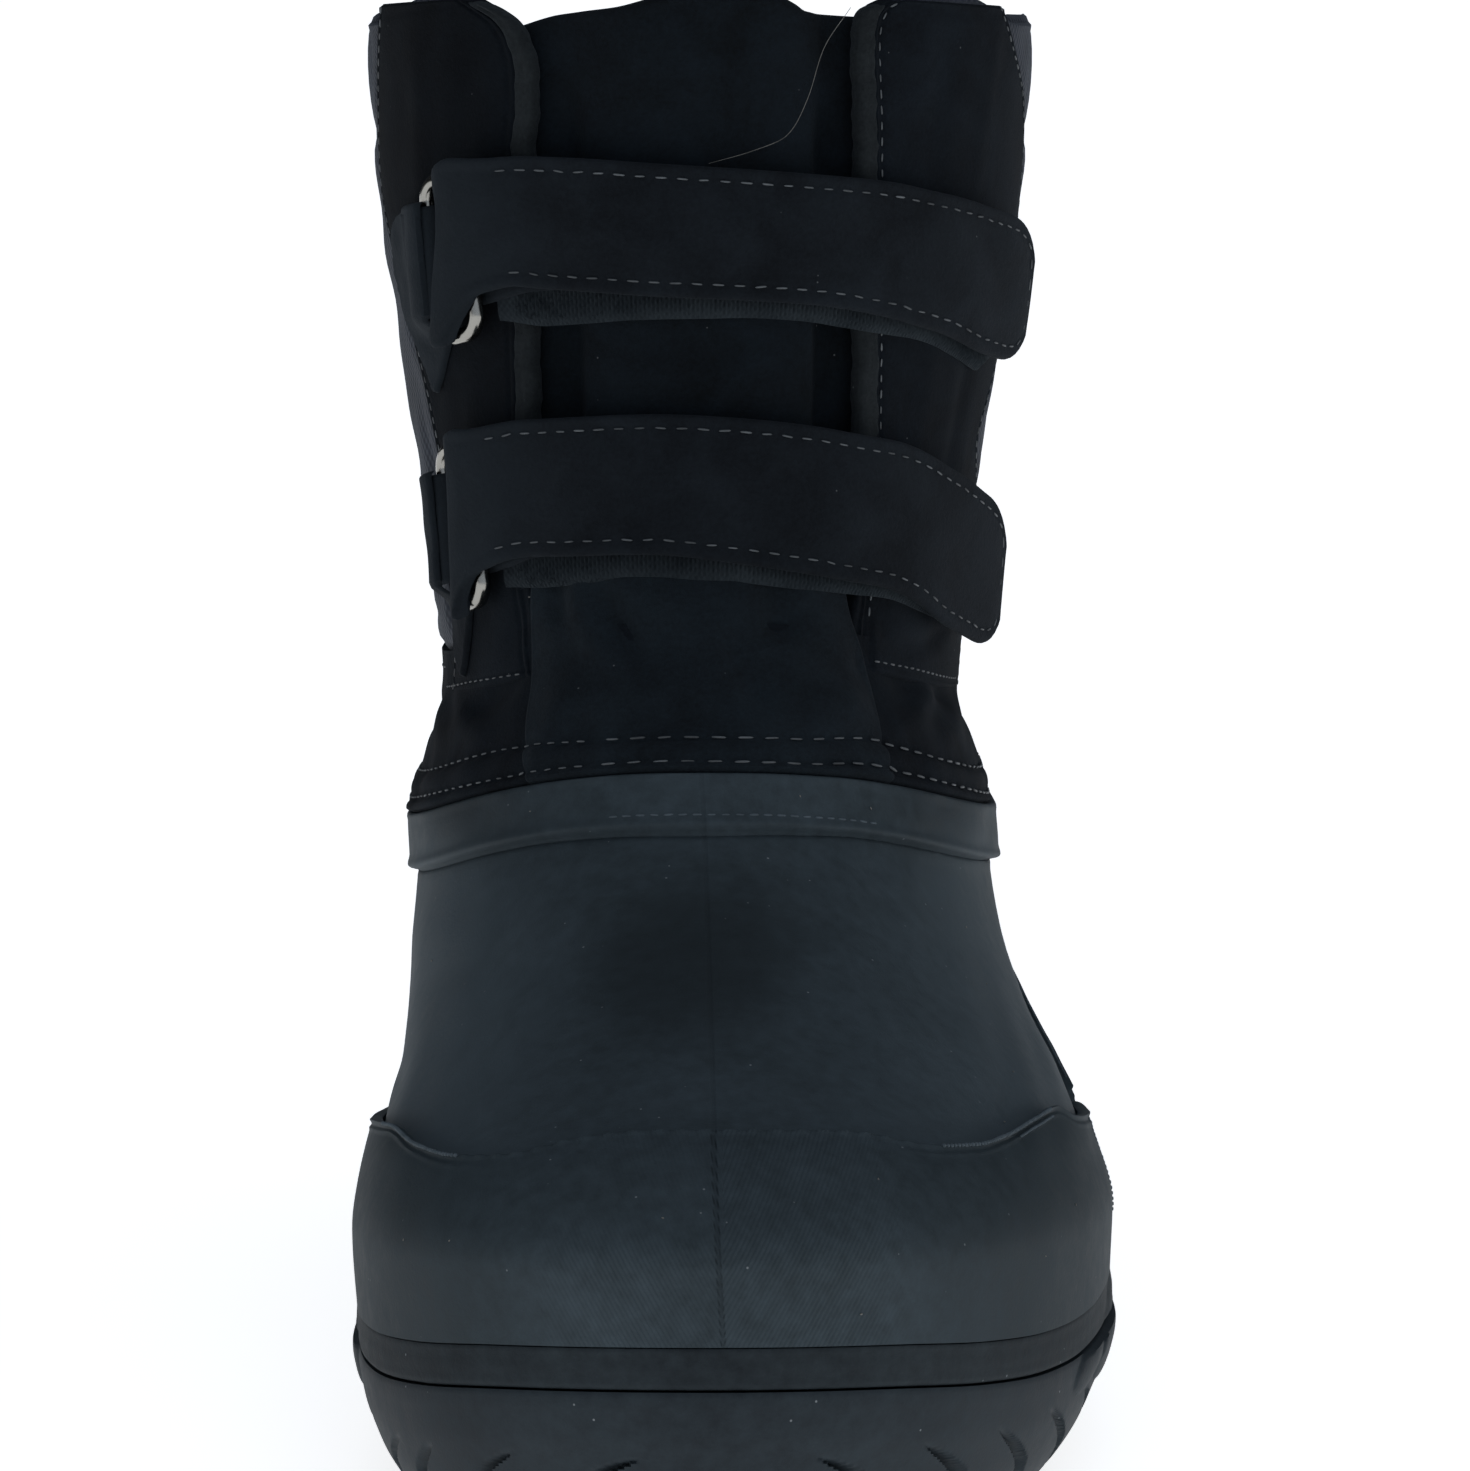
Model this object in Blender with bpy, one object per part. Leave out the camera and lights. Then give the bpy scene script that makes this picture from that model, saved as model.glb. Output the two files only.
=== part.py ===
"""Stable boot, left foot, standing empty on its sole.

Frame: metres, +Z up, the floor at Z = 0. The toe points to -Y and the inner (big toe)
side is -X. The origin is the middle of the boot's box, on the floor.

Every piece is worked out from one form, the outside of the boot, which is a stack of
level lines. A level line is a loop round the foot or the leg. Its place is a level
number, and a point on it is found by its turn: 0 at the front, +90 degrees on the outer
side, 180 degrees at the back of the heel. All sizes below are in millimetres.
"""
import math

import bmesh
import bpy
import numpy as np

MM = 0.001
GAP = 0.3                # clearance between two pieces that meet
CENTRE_SHIFT = (1.75, -0.52)    # brings the middle of the whole boot to x = 0, y = 0

# Walls and layers
SHELL_WALL = 2.5         # moulded rubber shell
SHAFT_WALL = 3.0         # suede or nylon with its foam and lining
OVERLAY = 1.6            # how far the toe cap and the heel counter stand proud
OVERLAY_GAP = 0.45       # between the shell and what lies on it
FOXING = 6.3             # height of the rubber band between outsole and shell
INSOLE = 4.0
INSOLE_CLEARANCE = 0.9   # round its edge
TONGUE = 3.5

# Straps and the metal loops that they pass through
STRAP_WIDTH = 23.0
STRAP_THICK = 1.9
CHAPE_THICK = 1.1
WIRE = 2.8               # loop wire
LOOP_HALF_HEIGHT = 13.0  # to the middle of the wire
LOOP_HALF_WIDTH = 4.3
LOOP_CORNER = 3.2        # radius of its corners
STRAP_CLEARANCE = 0.72   # between the leg and a strap or chape on it
FOLD_CLEARANCE = 0.45    # between the wire and what is folded round it
END_LENGTH = 11.0        # rounded tip of a strap
END_TAPER = 0.68         # 1 would bring the tip to a point
CHAPE_AT_BAR = 9.2       # half height of a chape inside the loop
CHAPE_NECK = (4.2, 8.0)  # distances from the bar at which it starts and ends to widen
FOLD_PINCH = 0.10        # how much narrower a strap is where it turns round the wire
FOLD_FLARE = 3.5         # how much lower its outer layer hangs there
FOLD_SPREAD = 8.0        # and how far that reaches along the strap

# Tread
LUG = 4.5
SLOT_HEIGHT = 10.0
SLOT_WIDTH = 3.2
GROOVE_WIDTH = 5.0
GROOVE_REACH = 75.0      # half length, past both edges of the sole
GROOVE_BEND = -4.0       # x of the chevrons' point

AROUND = 48              # columns round the boot


# Heights along the sole: where the tread is and where the shell starts
SOLE_COLUMNS = ("y", "tread", "top")
SOLE_STATIONS = (
    (-150.0, 13.0, 40.0),
    (-135.0, 8.2, 37.0),
    (-118.0, 3.9, 33.4),
    (-100.0, 1.2, 30.6),
    (-80.0, 0.0, 29.0),
    (-40.0, 0.0, 28.2),
    (20.0, 0.0, 29.0),
    (70.0, 0.0, 32.6),
    (110.0, 0.0, 35.6),
    (150.0, 0.0, 38.0),
)

# Level lines of the outside of the boot. Heights and places are given at the front, at
# the sides and at the back. Half widths are measured from the middle line, which runs
# from front_x to back_x. "widest" is where along the foot the widest point lies, from
# 0 at the front to 1 at the back. "round" is 2 for an ellipse and more for a squarer end.
LEVEL_COLUMNS = (
    "front_z", "side_z", "back_z", "front_y", "back_y", "front_x", "back_x",
    "inner_half", "outer_half", "inner_widest", "outer_widest",
    "inner_round", "outer_round", "back_round", "inner_waist", "outer_waist",
)
LEVELS = {
    "feather": (39.5, 28.5, 38, -144, 144, -3, -4, 54.0, 61.5, .30, .37, 2.3, 1.9, 2.4, 8, 3),
    "wall": (51, 37, 47, -145, 145, -3, -4, 54.5, 62.0, .30, .38, 2.3, 1.9, 2.4, 7, 3),
    "toe": (61, 46, 60, -134, 146, -4, -4, 52.5, 60.0, .31, .38, 2.3, 2.0, 2.3, 6, 3),
    "cap": (68, 53, 69, -111, 145, -4, -4, 51.0, 57.0, .33, .38, 2.2, 2.0, 2.3, 4, 2),
    "vamp": (81, 62, 77, -73, 143, -5, -4, 49.5, 52.5, .37, .40, 2.2, 2.1, 2.3, 2, 1),
    "band_low": (98, 79, 88, -37, 140, -6, -4, 49.0, 49.0, .42, .43, 2.1, 2.1, 2.3, 0, 0),
    "band_top": (106, 88, 97, -31, 139, -6, -4, 50.0, 49.0, .44, .44, 2.1, 2.1, 2.3, 0, 0),
    "puff": (114, 99, 108, -23, 139, -6, -4, 47.6, 46.0, .45, .45, 2.1, 2.1, 2.2, 0, 0),
    "ankle": (123, 109, 119, -14, 137, -6, -4, 45.0, 43.5, .46, .46, 2.1, 2.1, 2.2, 0, 0),
    "low_strap": (147, 138, 141, -6, 135, -6, -4, 48.5, 46.5, .50, .50, 2.1, 2.1, 2.1, 0, 0),
    "top_strap": (190, 181, 181, 0, 136, -6, -4, 55.0, 53.0, .50, .50, 2.1, 2.1, 2.1, 0, 0),
    "collar": (230, 226, 221, 4, 138, -6, -4, 59.0, 57.0, .50, .50, 2.1, 2.1, 2.1, 0, 0),
}
LEVEL_NUMBER = {name: number for number, name in enumerate(LEVELS)}
SIDE_AT = 0.52           # share of the length at which side_z is measured
WAIST_AT = 0.60
WAIST_SPREAD = 0.13

COLOURS = {
    "rubber": ((0.030, 0.036, 0.043), 0.62, 0.0),
    "suede": ((0.010, 0.012, 0.014), 0.95, 0.0),
    "lining": ((0.020, 0.022, 0.026), 0.95, 0.0),
    "nickel": ((0.62, 0.62, 0.60), 0.25, 1.0),
}


def hermite_slopes(places, values):
    """Slopes at table rows that keep a smooth curve from overshooting any row."""
    steps = np.diff(places)
    rises = np.diff(values, axis=0) / steps[:, None]
    slopes = np.zeros_like(values)
    slopes[0] = rises[0]
    slopes[-1] = rises[-1]
    before, after = rises[:-1], rises[1:]
    one = (2 * steps[1:] + steps[:-1])[:, None]
    two = (steps[1:] + 2 * steps[:-1])[:, None]
    same = before * after > 0
    safe_before = np.where(same, before, 1.0)
    safe_after = np.where(same, after, 1.0)
    mean = (one + two) / (one / safe_before + two / safe_after)
    slopes[1:-1] = np.where(same, mean, 0.0)
    return slopes


def smooth_table(places, values):
    """A function that reads a table as one smooth curve through its rows."""
    places = np.asarray(places, float)
    values = np.asarray(values, float)
    slopes = hermite_slopes(places, values)

    def read(at):
        at = np.asarray(at, float)
        row = np.clip(np.searchsorted(places, at, side="right") - 1, 0, len(places) - 2)
        width = places[row + 1] - places[row]
        t = ((at - places[row]) / width)[..., None]
        width = width[..., None]
        return ((2 * t**3 - 3 * t**2 + 1) * values[row]
                + (t**3 - 2 * t**2 + t) * width * slopes[row]
                + (3 * t**2 - 2 * t**3) * values[row + 1]
                + (t**3 - t**2) * width * slopes[row + 1])

    return read


SOLE_TABLE = np.array(SOLE_STATIONS)
read_sole = smooth_table(SOLE_TABLE[:, 0], SOLE_TABLE[:, 1:])
read_level = smooth_table(np.arange(len(LEVELS)), np.array(list(LEVELS.values())))


def tread_height(y):
    return read_sole(y)[..., 0]


def sole_top(y):
    return read_sole(y)[..., 1]


def height_along(row, along):
    """Height of a level line, from its front, side and back heights."""
    to_front = np.clip(1 - along / SIDE_AT, 0, 1) ** 2
    to_back = np.clip((along - SIDE_AT) / (1 - SIDE_AT), 0, 1) ** 2
    z = row["side_z"] + (row["front_z"] - row["side_z"]) * to_front
    return z + (row["back_z"] - row["side_z"]) * to_back


def bare_surface(level, turn):
    """The outside of the boot. The half width grows from the front end to the widest
    point and shrinks to the back end, each as a quarter of a superellipse."""
    level, turn = np.broadcast_arrays(np.asarray(level, float), np.asarray(turn, float))
    row = dict(zip(LEVEL_COLUMNS, np.moveaxis(read_level(level), -1, 0)))
    along = (1 - np.cos(turn)) / 2
    outer = np.sin(turn) >= 0
    half = np.where(outer, row["outer_half"], row["inner_half"])
    widest = np.where(outer, row["outer_widest"], row["inner_widest"])
    waist = np.where(outer, row["outer_waist"], row["inner_waist"])
    front = np.clip(1 - along / widest, 0, 1)
    back = np.clip((along - widest) / (1 - widest), 0, 1)
    front_round = np.where(outer, row["outer_round"], row["inner_round"])
    front_share = (1 - front ** front_round) ** (1 / front_round)
    back_share = (1 - back ** row["back_round"]) ** (1 / row["back_round"])
    reach = np.where(along < widest, front_share, back_share) * half
    reach = reach - waist * np.exp(-((along - WAIST_AT) / WAIST_SPREAD) ** 2)
    x = row["front_x"] + (row["back_x"] - row["front_x"]) * along
    x = x + np.where(outer, reach, -reach)
    y = row["front_y"] + (row["back_y"] - row["front_y"]) * along
    feather = dict(zip(LEVEL_COLUMNS, LEVELS["feather"]))
    rise_to_sole = sole_top(y) + GAP - height_along(feather, along)
    z = height_along(row, along) + rise_to_sole * np.clip(1 - level, 0, 1.1)
    return np.stack([x, y, z], axis=-1)


def surface_normal(level, turn):
    """Unit vector square to the outside, pointing away from the foot."""
    small_turn, small_level = 0.004, 0.01
    round_way = bare_surface(level, turn + small_turn) - bare_surface(level, turn - small_turn)
    up_way = bare_surface(level + small_level, turn) - bare_surface(level - small_level, turn)
    normal = np.cross(round_way, up_way)
    return normal / np.linalg.norm(normal, axis=-1, keepdims=True)


def boot_surface(level, turn, out):
    """Points `out` mm outside the boot's own surface."""
    level, turn, out = np.broadcast_arrays(*(np.asarray(a, float) for a in (level, turn, out)))
    return bare_surface(level, turn) + surface_normal(level, turn) * out[..., None]


def level_at_height(turn, z):
    """The level whose line passes height z at each turn, for the leg of the boot."""
    levels = np.linspace(LEVEL_NUMBER["band_top"], LEVEL_NUMBER["collar"], 121)
    turn, z = np.broadcast_arrays(np.asarray(turn, float), np.asarray(z, float))
    heights = bare_surface(levels[:, None], turn.reshape(-1)[None, :])[..., 2]
    found = [np.interp(h, heights[:, i], levels) for i, h in enumerate(z.reshape(-1))]
    return np.array(found).reshape(z.shape)


def leg_surface(turn, z, out):
    """Points on the leg by turn and height, `out` mm outside its surface."""
    return boot_surface(level_at_height(turn, z), turn, out)


def turn_for_reach(level, reach, outer):
    """The turn at which a level line is `reach` mm to one side of the middle line."""
    row = dict(zip(LEVEL_COLUMNS, np.moveaxis(read_level(level), -1, 0)))
    side = "outer" if outer else "inner"
    share = np.abs(reach) / row[side + "_half"]
    power = row[side + "_round"]
    along = row[side + "_widest"] * (1 - (1 - share ** power) ** (1 / power))
    return np.arccos(1 - 2 * along) * (1 if outer else -1)


def make_material(name):
    colour, roughness, metallic = COLOURS[name]
    material = bpy.data.materials.new(name)
    material.use_nodes = True
    shader = material.node_tree.nodes["Principled BSDF"]
    shader.inputs["Base Color"].default_value = (*colour, 1.0)
    shader.inputs["Roughness"].default_value = roughness
    shader.inputs["Metallic"].default_value = metallic
    return material


def add_object(name, mesh, material, collection, parent):
    piece = bpy.data.objects.new(name, mesh)
    collection.objects.link(piece)
    piece.parent = parent
    if material is not None:
        mesh.materials.append(material)
    return piece


def mesh_from(name, points, faces):
    mesh = bpy.data.meshes.new(name)
    mesh.from_pydata((np.asarray(points) * MM).tolist(), [], faces)
    mesh.shade_smooth()
    mesh.set_sharp_from_angle(angle=math.radians(40))
    return mesh


def walled_mesh(name, outer, inner, closed=False, cells=None):
    """A wall between two grids of points. Rows run up the piece and columns round it.
    A closed wall joins its last column to its first. Cells that are left out make an
    opening, and the wall gets an edge wherever a cell has no neighbour."""
    rows, columns = outer.shape[:2]
    across = columns if closed else columns - 1
    if cells is None:
        cells = np.ones((rows - 1, across), bool)
    count = rows * columns
    faces = []

    def present(r, c):
        if closed:
            c = c % columns
        return 0 <= r < rows - 1 and 0 <= c < across and cells[r, c]

    for r in range(rows - 1):
        for c in range(across):
            if not cells[r, c]:
                continue
            a = r * columns + c
            b = r * columns + (c + 1) % columns
            d = a + columns
            e = b + columns
            faces.append((a, b, e, d))
            faces.append((count + a, count + d, count + e, count + b))
            if not present(r - 1, c):
                faces.append((b, a, count + a, count + b))
            if not present(r + 1, c):
                faces.append((d, e, count + e, count + d))
            if not present(r, c - 1):
                faces.append((a, d, count + d, count + a))
            if not present(r, c + 1):
                faces.append((e, b, count + b, count + e))
    points = np.concatenate([outer.reshape(-1, 3), inner.reshape(-1, 3)])
    used = sorted({i for face in faces for i in face})
    renumber = {old: new for new, old in enumerate(used)}
    faces = [tuple(renumber[i] for i in face) for face in faces]
    return mesh_from(name, points[used], faces)


def slab_mesh(name, rings):
    """A solid between stacked outlines. The ends are closed by strips that run across
    from one side to the other, so that they bend with the length of the foot."""
    rings = np.asarray(rings)
    layers, columns = rings.shape[:2]
    half = columns // 2
    faces = []
    for r in range(layers - 1):
        for c in range(columns):
            n = (c + 1) % columns
            a, b = r * columns + c, r * columns + n
            faces.append((a, b, b + columns, a + columns))
    top = (layers - 1) * columns
    for c in range(half):
        left, left_next = (-c) % columns, (-c - 1) % columns
        quad = [c, c + 1, left_next, left]
        corners = list(dict.fromkeys(quad))
        faces.append(tuple(reversed(corners)))
        faces.append(tuple(top + i for i in corners))
    return mesh_from(name, rings.reshape(-1, 3), faces)


def turns_around(columns=AROUND):
    """Turns of the columns, starting at the front and going round by the outer side."""
    turns = np.arange(columns) * 2 * math.pi / columns
    return np.where(turns > math.pi, turns - 2 * math.pi, turns)


def column_degrees(first, last):
    """The boot's own columns between two turns, in degrees, with both ends added."""
    pitch = 360.0 / AROUND
    inside = np.arange(math.ceil(first / pitch + 0.3), math.floor(last / pitch - 0.3) + 1)
    return np.concatenate([[first], inside * pitch, [last]])


def sole_outline(out):
    """The plan of the sole, `out` mm outside the line where the shell starts."""
    turns = turns_around()
    step = 0.004
    here = bare_surface(0.0, turns)
    way = bare_surface(0.0, turns + step) - bare_surface(0.0, turns - step)
    length = np.hypot(way[:, 0], way[:, 1])
    x = here[:, 0] + out * way[:, 1] / length
    y = here[:, 1] - out * way[:, 0] / length
    return x, y


def sole_ring(out, height):
    """One outline with its heights, where height(y) gives Z."""
    x, y = sole_outline(out)
    return np.stack([x, y, height(y)], axis=-1)


# Side wall of the outsole: share of its height, and how far it stands out
OUTSOLE_WALL = (
    (0.0, -9.0),
    (0.14, -5.4),
    (0.38, -1.7),
    (0.68, 0.9),
    (0.95, 1.8),
    (1.0, 0.9),
)
# Side wall of the foxing band
FOXING_WALL = (
    (0.0, 0.6),
    (0.15, 1.9),
    (0.85, 1.9),
    (1.0, 0.8),
)
# Tread cuts across the sole: y of the middle, how far the tips sweep back
GROOVES = (
    (-112.0, 7.0),
    (-92.0, 9.0),
    (-71.0, 9.0),
    (-50.0, 9.0),
    (-29.0, 8.0),
    (-8.0, 7.0),
    (81.0, -6.0),
    (102.0, -7.0),
    (123.0, -7.0),
)
SLOT_COLUMNS_FRONT = (0.5, 2.5, 4.5, 6.5, 8.5, 10.5)
SLOT_COLUMNS_BACK = (19.5, 21.5, 23.5)
# Recess under the arch, seen from the side: y, z
ARCH = ((6.0, -1.0), (16.0, 5.2), (34.0, 6.6), (50.0, 5.2), (58.0, -1.0))


def outsole_height(share):
    """Height of the outsole's side wall at a share of the way from tread to foxing."""
    def height(y):
        low = tread_height(y)
        high = sole_top(y) - FOXING - GAP
        return low + (high - low) * share
    return height


def foxing_height(share):
    def height(y):
        return sole_top(y) - FOXING * (1 - share)
    return height


def prism_cutter(name, outline, axis, start, length, collection, parent):
    """A straight cutter: a flat outline, given in the other two axes, carried along one."""
    count = len(outline)
    points = []
    for place in (start, start + length):
        for a, b in outline:
            points.append((place, a, b) if axis == "x" else (a, b, place))
    faces = [tuple(reversed(range(count))), tuple(range(count, 2 * count))]
    for i in range(count):
        n = (i + 1) % count
        faces.append((i, n, n + count, i + count))
    mesh = mesh_from(name, points, faces)
    work = bmesh.new()
    work.from_mesh(mesh)
    bmesh.ops.recalc_face_normals(work, faces=work.faces)
    work.to_mesh(mesh)
    work.free()
    cutter = add_object(name, mesh, None, collection, parent)
    cutter.hide_render = True
    cutter.display_type = "WIRE"
    return cutter


def tilted_height(mesh, y_middle):
    """Lifts a cutter so that it follows the toe spring."""
    slope = (tread_height(y_middle + 1.0) - tread_height(y_middle - 1.0)) / 2.0
    base = tread_height(y_middle)
    for vertex in mesh.vertices:
        y = vertex.co.y / MM
        vertex.co.z += (base + slope * (y - y_middle)) * MM


def groove_cutters(collection, parent):
    """Chevron channels across the tread."""
    half = GROOVE_WIDTH / 2
    for number, (y, sweep) in enumerate(GROOVES):
        outline = (
            (-GROOVE_REACH, y + sweep - half), (GROOVE_BEND, y - half),
            (GROOVE_REACH, y + sweep - half), (GROOVE_REACH, y + sweep + half),
            (GROOVE_BEND, y + half), (-GROOVE_REACH, y + sweep + half),
        )
        cutter = prism_cutter(f"groove_{number:02d}", outline, "z", -3.0, 3.0 + LUG,
                              collection, parent)
        tilted_height(cutter.data, y + sweep / 2)


def slot_cutters(collection, parent):
    """Upright slots between the lugs at the edge of the tread."""
    pitch = 2 * math.pi / AROUND
    columns = SLOT_COLUMNS_FRONT + SLOT_COLUMNS_BACK
    for number, column in enumerate(columns):
        for side in (1, -1):
            turn = column * pitch * side
            here = bare_surface(0.0, turn)
            ahead = bare_surface(0.0, turn + 0.01) - bare_surface(0.0, turn - 0.01)
            way = math.atan2(ahead[1], ahead[0])
            bpy.ops.mesh.primitive_cube_add(size=1.0)
            cutter = bpy.context.object
            cutter.name = f"slot_{number:02d}_{'outer' if side > 0 else 'inner'}"
            height = SLOT_HEIGHT + 6.0
            size = np.array([SLOT_WIDTH, 15.0, height]) * MM
            turned = np.array([math.sin(way), -math.cos(way)])
            middle = here[:2] - turned * 4.5
            z = tread_height(middle[1]) + SLOT_HEIGHT - height / 2
            for vertex in cutter.data.vertices:
                vertex.co = [vertex.co[i] * size[i] for i in range(3)]
            cutter.location = (middle[0] * MM, middle[1] * MM, z * MM)
            cutter.rotation_euler = (0.0, 0.0, way)
            cutter.parent = parent
            for owner in list(cutter.users_collection):
                owner.objects.unlink(cutter)
            collection.objects.link(cutter)
            cutter.hide_render = True
            cutter.display_type = "WIRE"


def build_outsole(parts, cutters, parent, material):
    rings = [sole_ring(out, outsole_height(share)) for share, out in OUTSOLE_WALL]
    outsole = add_object("outsole", slab_mesh("outsole", rings), material, parts, parent)
    groove_cutters(cutters, parent)
    slot_cutters(cutters, parent)
    prism_cutter("arch", ARCH, "x", -80.0, 160.0, cutters, parent)
    cut = outsole.modifiers.new("tread", "BOOLEAN")
    cut.operation = "DIFFERENCE"
    cut.operand_type = "COLLECTION"
    cut.collection = cutters
    cut.solver = "EXACT"


def build_midsole(parts, parent, material):
    rings = [sole_ring(out, foxing_height(share)) for share, out in FOXING_WALL]
    add_object("midsole", slab_mesh("midsole", rings), material, parts, parent)


def build_insole(parts, parent, material):
    """A flat inner sole that lies inside the shell on the midsole."""
    out = -(SHELL_WALL + INSOLE_CLEARANCE)
    rings = [sole_ring(out, lambda y, up=up: sole_top(y) + GAP + up) for up in (0.0, INSOLE)]
    add_object("insole", slab_mesh("insole", rings), material, parts, parent)


# Shell wall from the sole up: level, outside face, inside face
SHELL_ROWS = (
    (0.0, 0.0, -2.5),
    (0.5, 0.0, -2.5),
    (0.85, 0.0, -2.5),
    (1.15, 0.0, -2.5),
    (1.5, 0.0, -2.5),
    (2.0, 0.0, -2.5),
    (2.6, 0.0, -2.5),
    (3.3, 0.0, -2.5),
    (4.0, 0.0, -2.5),
    (4.45, 0.0, -2.5),
    (4.90, 0.0, -2.6),
    (4.96, 1.8, -2.8),
    (5.93, 0.9, -5.0),
    (5.96, -3.8, -5.6),
    (6.45, -3.8, -5.6),
)
# Shaft wall: levels
SHAFT_LEVELS = (6.02, 6.3, 6.65, 7.0, 7.5, 8.0, 8.5, 9.0, 9.5, 10.0, 10.5, 11.0)
THROAT_BASE = 4          # row of SHAFT_LEVELS at which the throat opens
THROAT_INNER = 27.0      # half width of the throat, inner and outer side
THROAT_OUTER = 25.0
THROAT_FLARE = 8.0       # how much further back the inner edge runs at the collar


def build_upper(parts, parent, material):
    """The moulded shell, one hollow wall with its cuff band and its sewing lip."""
    rows = np.array(SHELL_ROWS)
    turns = turns_around()
    outer = boot_surface(rows[:, :1], turns[None, :], rows[:, 1:2])
    inner = boot_surface(rows[:, :1], turns[None, :], rows[:, 2:3])
    inner[0, :, 2] = sole_top(inner[0, :, 1]) + GAP
    mesh = walled_mesh("upper", outer, inner, closed=True)
    add_object("upper", mesh, material, parts, parent)


def throat_turns(level, outer_side):
    """Where the edge of the throat lies at each level."""
    flare = np.clip((level - 10.4) / 0.6, 0, 1) ** 2
    reach = THROAT_OUTER if outer_side else THROAT_INNER + THROAT_FLARE * flare
    return turn_for_reach(level, reach, outer_side)


def build_shaft(parts, parent, material):
    """The textile leg: a hollow wall that is open at the collar and down the throat."""
    levels = np.array(SHAFT_LEVELS)
    front_count, back_count = 6, AROUND - 8
    right = throat_turns(levels, True)[:, None]
    left = throat_turns(levels, False)[:, None]
    front_share = np.linspace(0, 1, front_count + 1)[None, :-1]
    back_share = np.linspace(0, 1, back_count + 1)[None, :-1]
    front = left + (right - left) * front_share
    back = right + (left + 2 * math.pi - right) * back_share
    turns = np.concatenate([front, back], axis=1)
    turns = np.where(turns > math.pi, turns - 2 * math.pi, turns)
    outer = boot_surface(levels[:, None], turns, 0.0)
    inner = boot_surface(levels[:, None], turns, -SHAFT_WALL)
    cells = np.ones((len(levels) - 1, turns.shape[1]), bool)
    cells[THROAT_BASE:, :front_count] = False
    mesh = walled_mesh("shaft", outer, inner, closed=True, cells=cells)
    add_object("shaft", mesh, material, parts, parent)


# Tongue from edge to edge: place across (mm from its middle), outside face
TONGUE_ACROSS = (
    (-33.0, -3.6),
    (-27.0, -5.0),
    (-23.5, -6.5),
    (-19.5, -2.0),
    (-10.0, -1.1),
    (0.0, -1.0),
    (10.0, -1.1),
    (20.0, -2.0),
    (23.0, -6.5),
    (27.0, -5.0),
    (32.0, -3.6),
)
TONGUE_LEVELS = (7.55, 8.0, 8.5, 9.0, 9.5, 10.0, 10.5, 10.97)


def build_tongue(parts, parent, material):
    """A bellows tongue behind the throat: its middle stands forward between two pleats,
    and below the throat it all lies behind the shaft."""
    levels = np.array(TONGUE_LEVELS)[:, None]
    across, out = np.array(TONGUE_ACROSS).T
    turns = np.where(across < 0,
                     turn_for_reach(levels, across[None, :], False),
                     turn_for_reach(levels, across[None, :], True))
    behind = -(SHAFT_WALL + 0.5)
    free = np.clip((levels - 7.9) / 0.5, 0, 1)
    outside = np.minimum(out[None, :], behind) * (1 - free) + out[None, :] * free
    outside = np.where(free < 1, np.minimum(outside, behind), outside)
    outer = boot_surface(levels, turns, outside)
    inner = boot_surface(levels, turns, outside - TONGUE)
    add_object("tongue", walled_mesh("tongue", outer, inner), material, parts, parent)


def overlay_mesh(name, turns, low_levels, high_levels, rows):
    """A patch cut between two larger forms of the upper's own surface. Its first rows
    follow the shell's own levels, and the rest share out the height up to its edge."""
    fixed = np.array(low_levels)[:, None] + 0 * high_levels[None, :]
    share = np.linspace(0, 1, rows + 1)[1:, None]
    above = low_levels[-1] + (high_levels[None, :] - low_levels[-1]) * share
    levels = np.concatenate([fixed, above])
    inner = boot_surface(levels, turns[None, :], OVERLAY_GAP)
    outer = boot_surface(levels, turns[None, :], OVERLAY_GAP + OVERLAY)
    inner[0, :, 2] = sole_top(inner[0, :, 1]) + OVERLAY_GAP
    outer[0, :, 2] = sole_top(outer[0, :, 1]) + OVERLAY_GAP
    return walled_mesh(name, outer, inner)


LOW_LEVELS = (0.0, 0.5, 0.85, 1.15, 1.5)
# Top edge of the toe cap and of the heel counter: turn in degrees, level
CAP_EDGE = (
    (-84.0, 2.10),
    (-74.0, 2.40),
    (-54.0, 2.58),
    (-44.0, 2.36),
    (-34.0, 2.20),
    (-18.0, 2.42),
    (0.0, 2.58),
    (20.0, 2.44),
    (37.0, 2.24),
    (48.0, 2.40),
    (59.0, 2.60),
    (76.0, 2.40),
    (84.0, 2.10),
)
COUNTER_EDGE = (
    (86.5, 2.20),
    (93.0, 2.80),
    (106.0, 3.35),
    (130.0, 4.00),
    (155.0, 4.45),
    (180.0, 4.55),
    (205.0, 4.45),
    (230.0, 4.00),
    (254.0, 3.35),
    (267.0, 2.80),
    (273.5, 2.20),
)


def build_overlays(parts, parent, material):
    cap = np.array(CAP_EDGE)
    read_cap = smooth_table(cap[:, 0], cap[:, 1:])
    turns = column_degrees(cap[0, 0], cap[-1, 0])
    mesh = overlay_mesh("toe_cap", np.radians(turns), LOW_LEVELS, read_cap(turns)[:, 0], 3)
    add_object("toe_cap", mesh, material, parts, parent)
    counter = np.array(COUNTER_EDGE)
    read_counter = smooth_table(counter[:, 0], counter[:, 1:])
    turns = column_degrees(counter[0, 0], counter[-1, 0])
    wrapped = np.where(turns > 180.0, turns - 360.0, turns)
    mesh = overlay_mesh("heel_counter", np.radians(wrapped), LOW_LEVELS[:4],
                        read_counter(turns)[:, 0], 4)
    add_object("heel_counter", mesh, material, parts, parent)


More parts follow.
